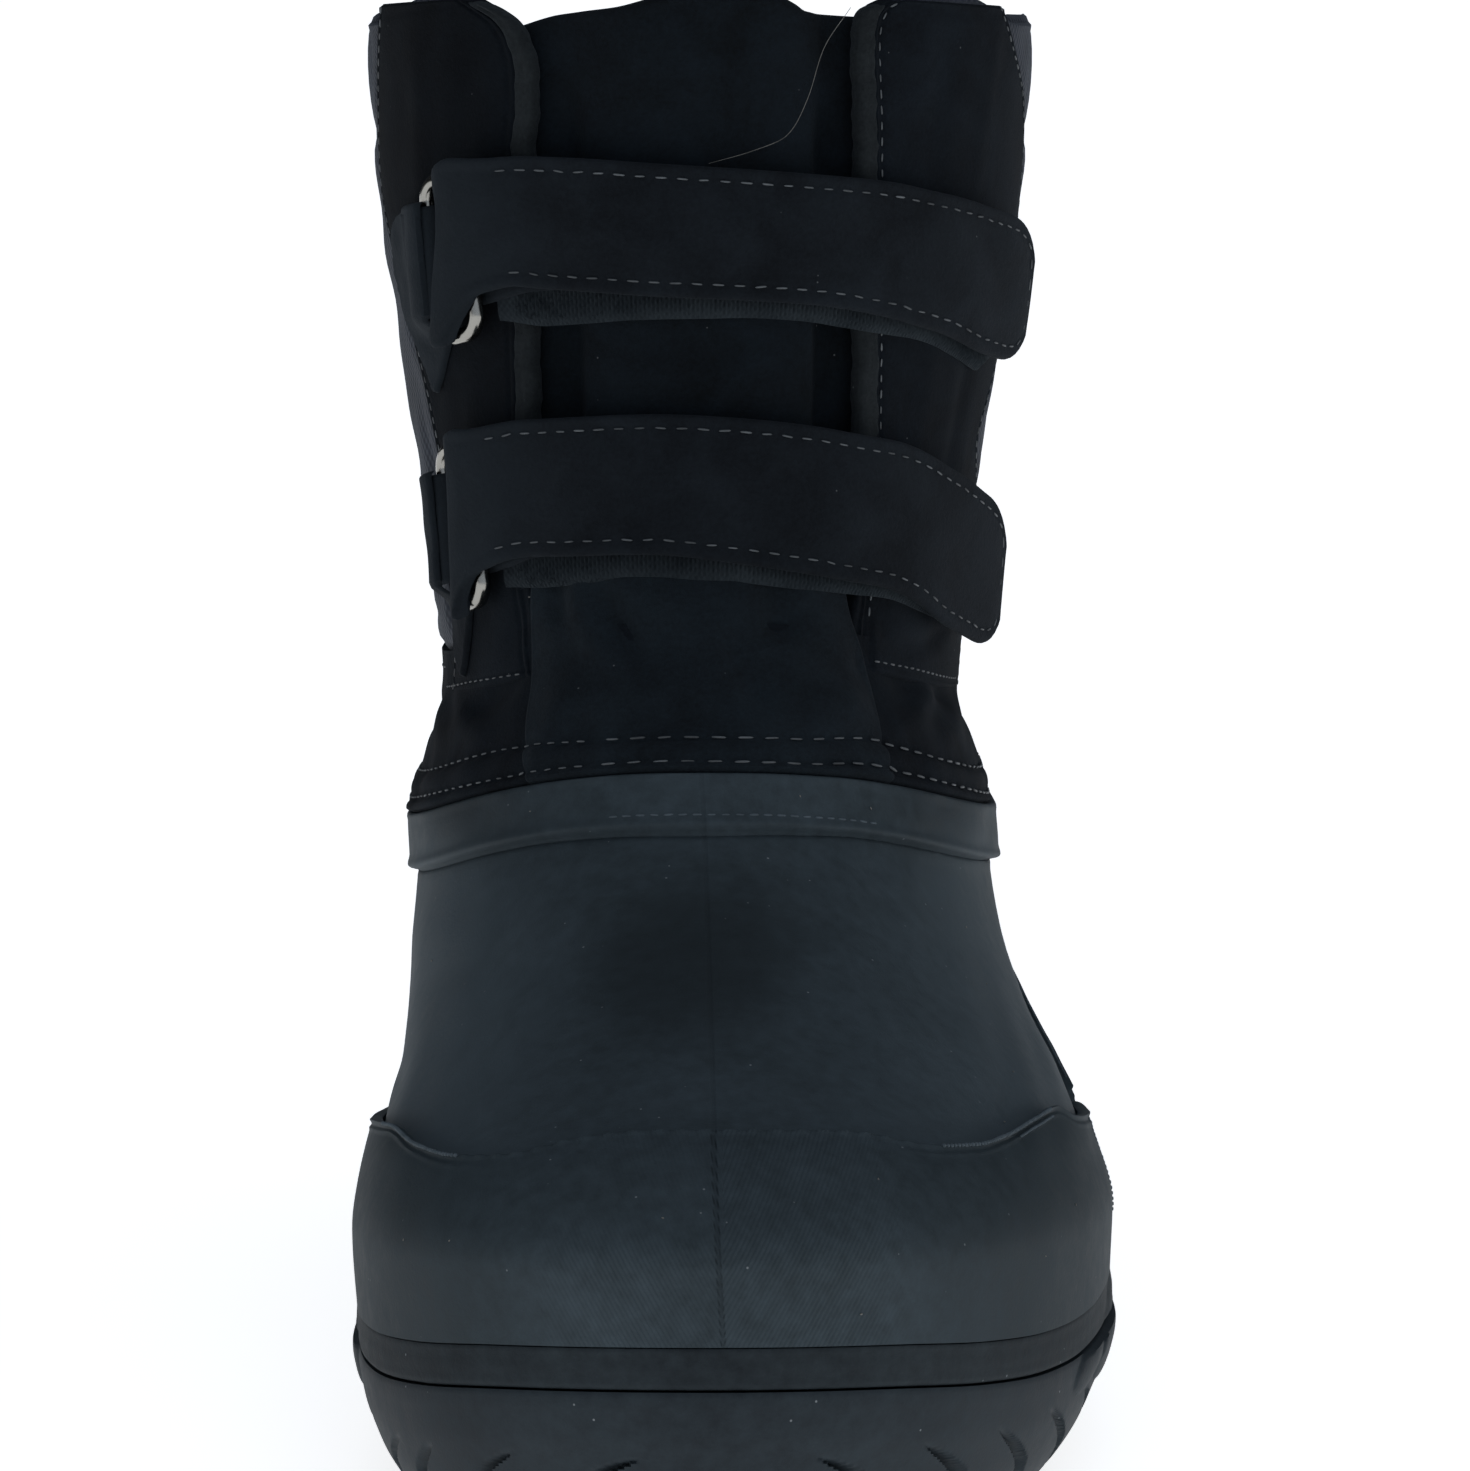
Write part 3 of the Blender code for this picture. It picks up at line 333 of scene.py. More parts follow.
def tube_piece(name, rings, material, node=None):
    """A solid between rings of points, each the same loop of columns. Its two ends are
    closed by strips that run across from one side of the ring to the other."""
    layers, columns = rings.shape[:2]
    faces, flat = lattice(layers, columns, False, True)
    around = round_length(rings[layers // 2])
    along = running(rings[:, :1], 0)[:, 0]
    sheet = np.stack(np.broadcast_arrays(around[None, :], along[:, None]), -1).reshape(-1, 2)
    c = np.arange(1, columns // 2 - 1)
    strip = np.stack([c, c + 1, columns - 1 - c, columns - c], -1)
    half = columns // 2
    tips = np.array([[0, 1, columns - 1], [half - 1, half, half + 1]])
    top = (layers - 1) * columns
    groups = [faces, strip[:, ::-1], strip + top, tips[:, ::-1], tips + top]
    ends = sum(g.size for g in groups[1:])
    uv = np.concatenate([sheet[flat.ravel()], np.zeros((ends, 2))])
    return finish_piece(name, rings.reshape(-1, 3), groups, material, node, uv, sharp=50)


def rounded(distance, radius):
    """A quarter circle: 0 at an edge, 1 once `radius` mm from it."""
    return np.sqrt(1 - np.clip(1 - distance / radius, 0, 1) ** 2)


def ease(value, low, high):
    """0 below low, 1 above high, and a smooth step between."""
    t = np.clip((value - low) / (high - low), 0, 1)
    return t * t * (3 - 2 * t)


def from_ends(count):
    """For each of `count` rows, how many rows it lies from the nearer end."""
    return np.minimum(np.arange(count), np.arange(count)[::-1])


def flattened(wave, power):
    """A wave's size to a power, its sign kept. Below 1 it makes a circle a rounded box."""
    return np.sign(wave) * np.abs(wave) ** power


def ridge(distance, width):
    """A soft round-topped ridge or, with a minus sign, a trough."""
    return np.exp(-(distance / width) ** 2)


def soft_waves(seed, u, v, size, count=9):
    """Gentle unevenness, from -1 to 1: a sum of sine waves in random directions whose
    lengths are near `size` mm. u and v are distances in mm."""
    dice = np.random.default_rng(seed)
    angle, phase = dice.uniform(0, 2 * np.pi, (2, count))
    pitch = 2 * np.pi / (size * dice.uniform(0.7, 1.6, count))
    total = sum(np.sin((u * np.cos(a) + v * np.sin(a)) * p + f)
                for a, p, f in zip(angle, pitch, phase))
    return total / math.sqrt(count * 2)


print("mesh helpers ready")

# %% [markdown]
# ## Camera, light and floor
# The boot is looked at from in front of the toe and a little above, from about a metre
# away with a long lens, so the toe looks only slightly larger than the heel. The light is
# a soft tent: bright above and low in front of the toe, darker behind and at the sides.
# That is what draws a matt black boot, because its sides catch the light and its front
# doesn't. The floor is a plain pale sheet with a little glow of its own, as on a light table.

# %% Camera
SENSOR, LENS = 36.0, 154.04082            # mm
EYE_DROP, EYE_AWAY = 146.0, 1010.0       # mm: how far the line of sight falls, and over what
camera_data = bpy.data.cameras.new("camera")
camera_data.sensor_width, camera_data.lens = SENSOR, LENS
camera_data.clip_start, camera_data.clip_end = 0.05, 60.0
camera = bpy.data.objects.new("camera", camera_data)
camera.location = (FORM_SHIFT[0] * MM, -1.030, 0.256)
camera.rotation_euler = (math.radians(90.0) - math.atan2(EYE_DROP, EYE_AWAY), 0.0, 0.0)
bpy.context.scene.collection.objects.link(camera)
bpy.context.scene.camera = camera
bpy.context.scene.view_settings.view_transform = "Standard"
print("camera looks down by", round(math.degrees(math.atan2(EYE_DROP, EYE_AWAY)), 1), "degrees")

# %% One helper for nodes and one for colours
MIX_A, MIX_B, MIX_OUT = 6, 7, 2      # a Mix node's colour sockets, by number
SMOOTH = {"interpolation_type": "SMOOTHSTEP"}


def feed(node, inputs):
    """Sets a node's inputs: a row of values for its first sockets, or a table by socket name
    or number. A value is a number, a colour, a socket, or a node, whose main output is taken."""
    for socket, value in inputs.items() if isinstance(inputs, dict) else enumerate(inputs):
        if isinstance(value, bpy.types.Node):
            value = value.outputs[MIX_OUT if value.bl_idname == "ShaderNodeMix" else 0]
        if isinstance(value, bpy.types.NodeSocket):
            node.id_data.links.new(value, node.inputs[socket])
        else:
            node.inputs[socket].default_value = value


def add_node(tree, kind, inputs=(), **settings):
    """Adds a node with its settings and links."""
    made = tree.nodes.new("ShaderNode" + kind)
    for name, value in settings.items():
        setattr(made, name, value)
    feed(made, inputs)
    return made


def linear(code):
    """An sRGB hex colour as the linear colour that shaders use."""
    parts = np.array([int(code[i:i + 2], 16) for i in (1, 3, 5)]) / 255.0
    curved = np.where(parts <= 0.04045, parts / 12.92, ((parts + 0.055) / 1.055) ** 2.4)
    return (*curved.tolist(), 1.0)


print("rubber black as linear:", [round(c, 4) for c in linear("#24292e")])

# %% Light tent
# A MapRange's row is the value, then the range it is read from and the range it is given.
world = bpy.data.worlds.new("light_tent")
bpy.context.scene.world = world
world.use_nodes = True
sky = world.node_tree
sky.nodes.clear()
spot = add_node(sky, "TexCoord")
way = add_node(sky, "SeparateXYZ", (spot.outputs["Generated"],))
ahead = add_node(sky, "MapRange", (way.outputs["Y"], -0.3, -0.85, 0.0, 0.66), **SMOOTH)
not_high = add_node(sky, "MapRange", (way.outputs["Z"], 0.9, 0.45, 0.0, 1.0), **SMOOTH)
overhead = add_node(sky, "MapRange", (way.outputs["Z"], 0.5, 1.0, 0.03, 0.67))
both = add_node(sky, "Math", (ahead, not_high, overhead), operation="MULTIPLY_ADD")
to_outer = add_node(sky, "MapRange", (way.outputs["X"], -1.0, 1.0, 0.76, 1.24))
tent = add_node(sky, "Math", (both, to_outer), operation="MULTIPLY")
glow = add_node(sky, "Background", (linear("#dfe9f6"), tent))
add_node(sky, "OutputWorld", {"Surface": glow})


def soft_box(name, place, aim, width, height, power):
    """A rectangular lamp at `place` that faces `aim`, all in metres."""
    data = bpy.data.lights.new(name, "AREA")
    data.shape, data.size, data.size_y, data.energy = "RECTANGLE", width, height, power
    lamp = bpy.data.objects.new(name, data)
    lamp.location = place
    x, y, z = np.array(aim) - np.array(place)
    tilt = math.pi / 2 + math.atan2(z, math.hypot(x, y))
    lamp.rotation_euler = (tilt, 0.0, math.atan2(y, x) - math.pi / 2)
    bpy.context.scene.collection.objects.link(lamp)


for name, side, power in (("side_box_outer", 1, 1.6), ("side_box_inner", -1, 0.3)):
    soft_box(name, (1.5 * side, -0.1, 0.55), (0.0, 0.0, 0.12), 0.9, 1.2, power)

# %% Floor
FLOOR_RADIUS, FLOOR_SIDES = 24.0, 96
paper = bpy.data.materials.new("matt_white_card_glowing")
paper.use_nodes = True
feed(paper.node_tree.nodes["Principled BSDF"], {
    "Base Color": linear("#f2f3f4"), "Roughness": 0.9, "Specular IOR Level": 0.1,
    "Emission Color": linear("#ffffff"), "Emission Strength": 0.80})
floor_mesh = bpy.data.meshes.new("floor")
ring_turn = np.linspace(0, 2 * np.pi, FLOOR_SIDES + 1)[:-1]
ring = np.stack([np.cos(ring_turn), np.sin(ring_turn), 0 * ring_turn], -1) * FLOOR_RADIUS
floor_mesh.from_pydata(ring.tolist(), [], [tuple(range(FLOOR_SIDES))])
floor = bpy.data.objects.new("floor", floor_mesh)
floor_mesh.materials.append(paper)
bpy.context.scene.collection.objects.link(floor)
print("floor radius", FLOOR_RADIUS, "m")

# %% [markdown]
# ## Finishes
# Each material starts from what the real one is. The shell is moulded rubber: matt, blue
# black, with a fine spark-eroded grain from its mould, a hair-thin mould line down the
# middle, cloudy dusty patches, a few pale specks, and painted light: a painted highlight on
# the lower sides, and painted shade on the sides of the cuff and toe cap and as a darker oval
# on the vamp. Suede is split leather with its fibres raised: almost no gloss, a soft sheen at
# the edges of a form, patches where the nap lies the other way, and a painted shade or
# highlight on the inner side. All patterns are in object coordinates or in the cloth's own map, so
# they stay put on the boot, and each scale comes from a size in millimetres.

# %% Moulded rubber
def per_mm(size):
    """A texture's scale in object coordinates (metres) for a feature of `size` mm."""
    return 1.0 / (size * MM)


def new_material(name):
    """A material with its node tree, its shader and its object coordinates."""
    material = bpy.data.materials.new(name)
    material.use_nodes = True
    tree = material.node_tree
    place = add_node(tree, "TexCoord").outputs["Object"]
    return material, tree, tree.nodes["Principled BSDF"], place


def specks(tree, place, cell, size, amount):
    """Small round specks: 1 where a cell's point is within `size` mm, in about `amount` of
    the cells. Cells are `cell` mm across."""
    cells = add_node(tree, "TexVoronoi", {"Vector": place, "Scale": per_mm(cell)})
    near = add_node(tree, "MapRange", (
        cells.outputs["Distance"], size / cell, 0.6 * size / cell, 0.0, 1.0))
    tone = add_node(tree, "SeparateColor", (cells.outputs["Color"],))
    chosen = add_node(tree, "Math", (tone, amount), operation="LESS_THAN")
    return add_node(tree, "Math", (near, chosen), operation="MULTIPLY")


def rubber(name, dark, light, gloss=0.64, level=0.13, mould_line=0.0, hatch=False,
           painted_vamp_shade=False, rough_cast=0.14, painted_side_tone=None):
    """Injection moulded rubber. The eye gets a matt blue-black skin, cloudy with dusty patches, with
    a fine grain and, on the shell and toe cap, the line where the mould's halves met, as
    strong as mould_line says. The fore part's sides can get painted light, and the shell's vamp a painted
    shade."""
    material, tree, shader, place = new_material(name)
    cloud, mottle, grain = (
        add_node(tree, "TexNoise", {
            "Vector": place, "Scale": per_mm(size), "Detail": detail, "Roughness": rough})
        for size, detail, rough in ((34, 4.0, 0.6), (3.2, 5.0, 0.7), (0.55, 2.0, 0.6)))
    blend = add_node(tree, "Math", (cloud, 0.72, mottle), operation="MULTIPLY_ADD")
    tone = add_node(tree, "MapRange", (blend, 0.55, 1.12, 0.0, 1.0))
    skin = add_node(tree, "Mix", {0: tone, MIX_A: linear(dark), MIX_B: linear(light)},
                    data_type="RGBA")
    fleck = specks(tree, place, 3.2, 0.22, 0.30)
    fleck = add_node(tree, "Math", (fleck, 0.65), operation="MULTIPLY")
    colour = add_node(tree, "Mix", {0: fleck, MIX_A: skin, MIX_B: linear("#8a8f92")},
                      data_type="RGBA")
    if painted_vamp_shade:
        # A painted shade: a darker oval in the middle of the vamp, ragged at its border.
        middle, radii = (-0.004, -0.048, 0.0825), (1 / 0.019, 0.0, 1 / 0.0095)
        from_middle = add_node(tree, "VectorMath", (place, middle), operation="SUBTRACT")
        in_radii = add_node(tree, "VectorMath", (from_middle, radii), operation="MULTIPLY")
        radius = add_node(tree, "VectorMath", (in_radii,), operation="LENGTH")
        ragged = add_node(tree, "Math", (cloud, 0.8, radius.outputs["Value"]),
                          operation="MULTIPLY_ADD")
        inside = add_node(tree, "MapRange", (ragged, 0.7, 1.7, 0.62, 0.0), **SMOOTH)
        colour = add_node(tree, "Mix", {0: inside, MIX_A: colour, MIX_B: linear("#1a2023")},
                          data_type="RGBA")
    at = add_node(tree, "SeparateXYZ", (place,))
    side = add_node(tree, "Math", (at.outputs["X"],), operation="ABSOLUTE")
    if painted_side_tone:
        # Painted light on the sides of the fore part: the lower colour is a painted highlight on
        # the shell and a painted shade on the toe cap, and the cuff's colour above is a painted
        # shade. Two colours, the lower one and the cuff's.
        on_side = add_node(tree, "MapRange", (side, 0.016, 0.046, 0.0, 0.5), **SMOOTH)
        fore = add_node(tree, "MapRange", (at.outputs["Y"], -0.015, 0.045, 1.0, 0.0), **SMOOTH)
        amount = add_node(tree, "Math", (on_side, fore), operation="MULTIPLY")
        height = add_node(tree, "MapRange", (at.outputs["Z"], 0.085, 0.095, 0.0, 1.0))
        painted_side_colour = add_node(tree, "Mix", {
            0: height, MIX_A: linear(painted_side_tone[0]), MIX_B: linear(painted_side_tone[1])}, data_type="RGBA")
        colour = add_node(tree, "Mix", {0: amount, MIX_A: colour, MIX_B: painted_side_colour},
                          data_type="RGBA")
    feed(shader, {"Base Color": colour, "Specular IOR Level": level,
                  "Roughness": add_node(tree, "MapRange", (
                      mottle, 0.3, 0.7, gloss - 0.07, gloss + 0.08))})
    bump = add_node(tree, "Bump", {"Height": grain, "Strength": 0.35, "Distance": 0.00012})
    bump = add_node(tree, "Bump", {
        "Height": mottle, "Strength": rough_cast, "Distance": 0.0004, "Normal": bump})
    if mould_line:
        # A raised seam 0.5 mm wide. It drifts a little to the outer side as it comes down.
        drift = add_node(tree, "Math", (at.outputs["Z"], 0.056, -0.0023),
                         operation="MULTIPLY_ADD")
        off = add_node(tree, "Math", (at.outputs["X"], drift), operation="ADD")
        away = add_node(tree, "Math", (off,), operation="ABSOLUTE")
        seam = add_node(tree, "MapRange", (away, 0.0001, 0.00055, 1.0, 0.0), **SMOOTH)
        bump = add_node(tree, "Bump", {
            "Height": seam, "Strength": mould_line, "Distance": 0.0003, "Normal": bump},
            invert=True)
        shade = add_node(tree, "Math", (seam, 0.3 * mould_line), operation="MULTIPLY")
        feed(shader, {"Base Color": add_node(tree, "Mix", {
            0: shade, MIX_A: colour, MIX_B: linear("#0c0f12")}, data_type="RGBA")})
    if hatch:
        # Fine hatching left by the mould, 0.75 mm apart, leaning away from the mould line.
        lean = add_node(tree, "Math", (at.outputs["Z"], -0.55, side), operation="MULTIPLY_ADD")
        wave = add_node(tree, "Math", (lean, 2 * math.pi * per_mm(0.75)), operation="MULTIPLY")
        lines = add_node(tree, "Math", (wave,), operation="SINE")
        near = add_node(tree, "MapRange", (side, 0.012, 0.030, 1.0, 0.0), **SMOOTH)
        patch = add_node(tree, "Math", (near, cloud), operation="MULTIPLY")
        cut = add_node(tree, "Math", (lines, patch), operation="MULTIPLY")
        bump = add_node(tree, "Bump", {
            "Height": cut, "Strength": 0.9, "Distance": 0.00011, "Normal": bump})
    feed(shader, {"Normal": bump})
    return material


# The shell's lower sides get a painted highlight, its cuff's sides a painted shade, and its vamp a darker
# oval of painted shade.
shell_rubber = rubber("moulded_rubber_shell", "#2a3236", "#3c464c", mould_line=0.4,
                      painted_vamp_shade=True, painted_side_tone=("#4a545a", "#0b0e10"))
# The toe cap's sides get a painted shade.
cap_rubber = rubber("moulded_rubber_toe_cap", "#2b3337", "#3e484e", level=0.10,
                    mould_line=0.8, hatch=True, painted_side_tone=("#242c30", "#242c30"))
foxing_rubber = rubber("moulded_rubber_grained_band", "#1b2024", "#2f363a", gloss=0.70,
                       level=0.10, rough_cast=0.45)
# The beads and teeth get a lighter rubber: a painted highlight on each small bead.
bead_rubber = rubber("moulded_rubber_beads_painted_highlight", "#3a4348", "#59636a")
sole_rubber = rubber("moulded_rubber_sole", "#1d2328", "#2e363b", level=0.12)
print("rubbers:", shell_rubber.name, cap_rubber.name, foxing_rubber.name, sole_rubber.name)

# %% [markdown]
# ## Suede, nylon, webbing and the rest
# Suede gets its look from two scales: fibres a third of a millimetre long that break up
# the light, and patches one or two centimetres wide where a hand has brushed them. The
# nylon at the back of the leg is a plain weave, smoother and bluer, and shows
# a broader sheen. Straps, tabs and linings are the same few cloths, so they are made by
# the same two functions.

# %% Suede and woven cloth
def suede(name, dark, light, sheen, level=0.12, painted_inner_tone=None):
    """Split leather with a raised nap: fibres 0.35 mm long, brushed patches 14 mm wide, and
    lint caught in it. The eye gets a dead matt black that lightens where it turns away."""
    material, tree, shader, place = new_material(name)
    patches = add_node(tree, "TexNoise", {"Vector": place, "Scale": per_mm(14), "Detail": 3.0,
                                          "Roughness": 0.55, "Distortion": 0.6})
    fibres = add_node(tree, "TexNoise", {
        "Vector": place, "Scale": per_mm(0.7), "Detail": 3.0, "Roughness": 0.75})
    both = add_node(tree, "Math", (fibres, 0.8, patches), operation="MULTIPLY_ADD")
    tone = add_node(tree, "MapRange", (both, 0.62, 1.18, 0.0, 1.0))
    nap = add_node(tree, "Mix", {0: tone, MIX_A: linear(dark), MIX_B: linear(light)},
                   data_type="RGBA")
    caught = specks(tree, place, 3.0, 0.18, 0.12)
    caught = add_node(tree, "Math", (caught, 0.40), operation="MULTIPLY")
    colour = add_node(tree, "Mix", {0: caught, MIX_A: nap, MIX_B: linear("#85888a")},
                      data_type="RGBA")
    if painted_inner_tone:
        # Painted light on the inner side, above the ankle: a darker colour there is a painted
        # shade, a lighter one a painted highlight.
        at = add_node(tree, "SeparateXYZ", (place,))
        inner = add_node(tree, "MapRange", (at.outputs["X"], -0.024, -0.044, 0.0, 0.5), **SMOOTH)
        high = add_node(tree, "MapRange", (at.outputs["Z"], 0.118, 0.136, 0.0, 1.0))
        turned = add_node(tree, "Math", (inner, high), operation="MULTIPLY")
        colour = add_node(tree, "Mix", {0: turned, MIX_A: colour, MIX_B: linear(painted_inner_tone)},
                          data_type="RGBA")
    coarse = add_node(tree, "Bump", {"Height": patches, "Strength": 0.35, "Distance": 0.0012})
    fine = add_node(tree, "Bump", {
        "Height": fibres, "Strength": 0.6, "Distance": 0.0003, "Normal": coarse})
    feed(shader, {"Base Color": colour, "Normal": fine, "Roughness": 0.95,
                  "Specular IOR Level": level, "Sheen Weight": sheen, "Sheen Roughness": 0.5,
                  "Sheen Tint": linear("#8794a1")})
    return material


def woven(name, dark, light, thread=0.9, sheen=0.05, roughness=0.75, level=0.25):
    """Plain weave drawn on the cloth's own map in mm: over and under threads are the product
    of two sine waves. Real threads are half as wide, too fine to show, so `thread` is coarser."""
    material, tree, shader, place = new_material(name)
    cloth = add_node(tree, "UVMap", uv_map="cloth_mm")
    at = add_node(tree, "SeparateXYZ", (cloth,))
    waves = []
    for axis in ("X", "Y"):
        turn = add_node(tree, "Math", (at.outputs[axis], math.pi / thread), operation="MULTIPLY")
        waves.append(add_node(tree, "Math", (turn,), operation="SINE"))
    weave = add_node(tree, "Math", waves, operation="MULTIPLY")
    cloud = add_node(tree, "TexNoise", {
        "Vector": place, "Scale": per_mm(11), "Detail": 5.0, "Roughness": 0.65})
    both = add_node(tree, "Math", (weave, 0.07, cloud), operation="MULTIPLY_ADD")
    tone = add_node(tree, "MapRange", (both, 0.25, 0.75, 0.0, 1.0))
    colour = add_node(tree, "Mix", {0: tone, MIX_A: linear(dark), MIX_B: linear(light)},
                      data_type="RGBA")
    soft = add_node(tree, "Bump", {"Height": cloud, "Strength": 0.3, "Distance": 0.0008})
    bump = add_node(tree, "Bump", {
        "Height": weave, "Strength": 0.5, "Distance": 0.00015, "Normal": soft})
    feed(shader, {"Base Color": colour, "Normal": bump, "Roughness": roughness,
                  "Specular IOR Level": level, "Sheen Weight": sheen, "Sheen Roughness": 0.4,
                  "Sheen Tint": linear("#a6b2c4")})
    return material


# The leg's inner side gets a darker painted shade, and the straps' inner side a lighter painted highlight.
leg_suede = suede("split_suede_leg", "#090c10", "#141a20", sheen=0.02, level=0.09,
                  painted_inner_tone="#030406")
panel_suede = suede("split_suede_front", "#0d1115", "#1b2329", sheen=0.05)
strap_suede = suede("split_suede_strap", "#0d1014", "#1a1f24", sheen=0.06,
                    painted_inner_tone="#23292e")
tongue_suede = suede("split_suede_tongue", "#080b0e", "#131a20", sheen=0.04)
edge_felt = suede("cut_suede_edge", "#15181a", "#272b2d", sheen=0.10)
nylon = woven("woven_nylon_leg", "#14181e", "#222833", sheen=0.10)
webbing = woven("ribbed_nylon_webbing", "#191e22", "#30363a", thread=0.7, roughness=0.9,
                level=0.06)
lining = woven("knitted_fleece_lining", "#15181c", "#2a2e34", thread=1.4, sheen=0.1,
               roughness=0.95, level=0.1)
thread = woven("twisted_polyester_thread", "#1b1f22", "#676c6f", thread=0.5, roughness=0.5,
               level=0.4)
print("cloths:", leg_suede.name, strap_suede.name, nylon.name, webbing.name, lining.name,
      thread.name)

# %% Nickel wire and stray lint
# Nickel plate on bent wire: a bright, slightly warm mirror, rubbed dull in fine lines.
nickel, tree, shader, place = new_material("bent_wire_nickel_plated")
rub = add_node(tree, "TexNoise", {
    "Vector": place, "Scale": per_mm(1.2), "Detail": 4.0, "Roughness": 0.7})
dull = add_node(tree, "MapRange", (rub, 0.3, 0.7, 0.12, 0.26))
feed(shader, {"Base Color": linear("#97958f"), "Metallic": 1.0, "Roughness": dull})

# Dust and hair caught on the boot: a soft off-white, uneven along its length.
lint, tree, shader, place = new_material("pale_wool_lint")
tint = add_node(tree, "TexNoise", {"Vector": place, "Scale": per_mm(2.0), "Detail": 2.0})
shade = add_node(tree, "Mix", {0: tint, MIX_A: linear("#302f2d"), MIX_B: linear("#8b8983")},
                 data_type="RGBA")
feed(shader, {"Base Color": shade, "Roughness": 0.8})
print("metal and lint:", nickel.name, lint.name)

# %% [markdown]
# ## The moulded shell
# The real shell is one moulding: it comes up from the sole, swells over the toes, and ends
# in a smooth cuff band that the leg is sewn into. The band stands proud with a rounded
# lower lip and a thin top edge. The wall is one profile, given as levels and distances from
# the form, carried all round the boot. The band's height is not the same all round: it
# sits a little higher at the sides, so its rows are lifted by a table read by turn.

# %% Shell
band_lift = by_degrees(((-180, .04), (-90, .05), (-57, .04), (-41, .05), (-28, .04), (-16, .01), (0, -.02),
                        (16, .04), (28, .12), (41, .16), (69, .19), (100, .10), (180, .04)))
BAND_ROWS = np.array((    # level, distance out: under the lip, the lip, the face, the edge
    (4.80, 0.0), (4.86, 0.0), (4.90, -0.1), (4.916, -0.35), (4.926, -0.1), (4.932, 0.6), (4.942, 1.30),
    (4.958, 1.65), (4.98, 1.78), (5.01, 1.76), (5.05, 1.66), (5.09, 1.54), (5.14, 1.46), (5.25, 1.42),
    (5.40, 1.35), (5.55, 1.25), (5.70, 1.15), (5.80, 1.1), (5.86, 1.2), (5.90, 1.15), (5.93, 0.85),
    (5.945, 0.3), (5.95, -0.8), (5.96, -2.4), (5.98, -3.8),
))
FLEXES = (    # soft creases where the foot bends: turn, level, length, height, how deep
    (-24, 4.15, 30, .10, -.35), (14, 4.30, 34, .09, -.30), (-6, 3.75, 40, .12, .30), (34, 3.9, 22, .14, -.30),
    (-52, 4.4, 24, .20, .35), (60, 4.35, 22, .20, -.30), (-70, 3.3, 18, .30, -.45), (98, 3.6, 22, .35, -.40),
)


def shell_relief(level, turn):
    """The listed flexes: each a bell shape in turn and level, its line bent a little."""
    degrees = np.degrees(turn)
    total = 0.0 * level * degrees
    for at, where, wide, tall, deep in FLEXES:
        bent = level - where - 0.00006 * (degrees - at) ** 2
        total = total + deep * ridge(bent, tall) * ridge(degrees - at, wide)
    return total


lower = np.stack([np.linspace(0.0, 4.74, 46), np.zeros(46)], -1)
outside = np.concatenate([[(0.0, -1.2)], lower, BAND_ROWS, [(6.15, -3.85), (6.35, -3.85), (6.44, -4.1)]])
inside_levels = np.interp(np.linspace(0, 1, len(outside)),
                          [0, .5, .78, .86, 1], [0, 3.2, 4.9, 5.6, 6.44])
inside_out = np.interp(inside_levels, [0, 4.6, 4.96, 5.6, 6.0, 6.44],
                       [-2.5, -2.5, -2.8, -4.6, -5.5, -5.5])
turns = whole_turn(360)[None, :]
rise = ease(outside[:, :1], 4.3, 4.9) * band_lift(turns)
levels = outside[:, :1] + rise
face = ease(outside[:, :1], 5.1, 5.2) * (1 - ease(outside[:, :1], 5.8, 5.9))
below = 1 - ease(outside[:, :1], 4.7, 4.9)
uneven = soft_waves(4, np.degrees(turns) * 2.0, outside[:, :1] * 18.0, 26.0)
out = outside[:, 1:] + shell_relief(levels, turns) * below
out = out + 0.16 * uneven * np.maximum(face, below)
shell_outer = boot_surface(levels, turns, out)
shell_inner = boot_surface(inside_levels[:, None], turns, inside_out[:, None])
shell_inner[0, :, 2] = sole_top(shell_inner[0, :, 1]) + GAP
wall_piece("moulded_shell", shell_outer, shell_inner, shell_rubber, "shell_rubber", "upper",
           closed=True)

# %% [markdown]
# ## Toe cap and heel counter
# A second, thicker skin of rubber wraps the toe, with a wavy top edge: up in the middle,
# down at each side, then up again into a small wing. The edge is a rounded step with a
# raised cord along it, a channel, and a second fine ridge on the wings. Distance below the
# edge is measured along the surface itself, so these lines keep their width everywhere.

# %% Overlays
OVERLAY_THICK, OVERLAY_BACK = 1.6, 0.45      # mm, and where its back lies off the form
CORD_AT, FINE_AT = 1.15, 3.2                 # mm below the edge
DASH_PITCH = 3.5                             # mm from one dash of the cord to the next


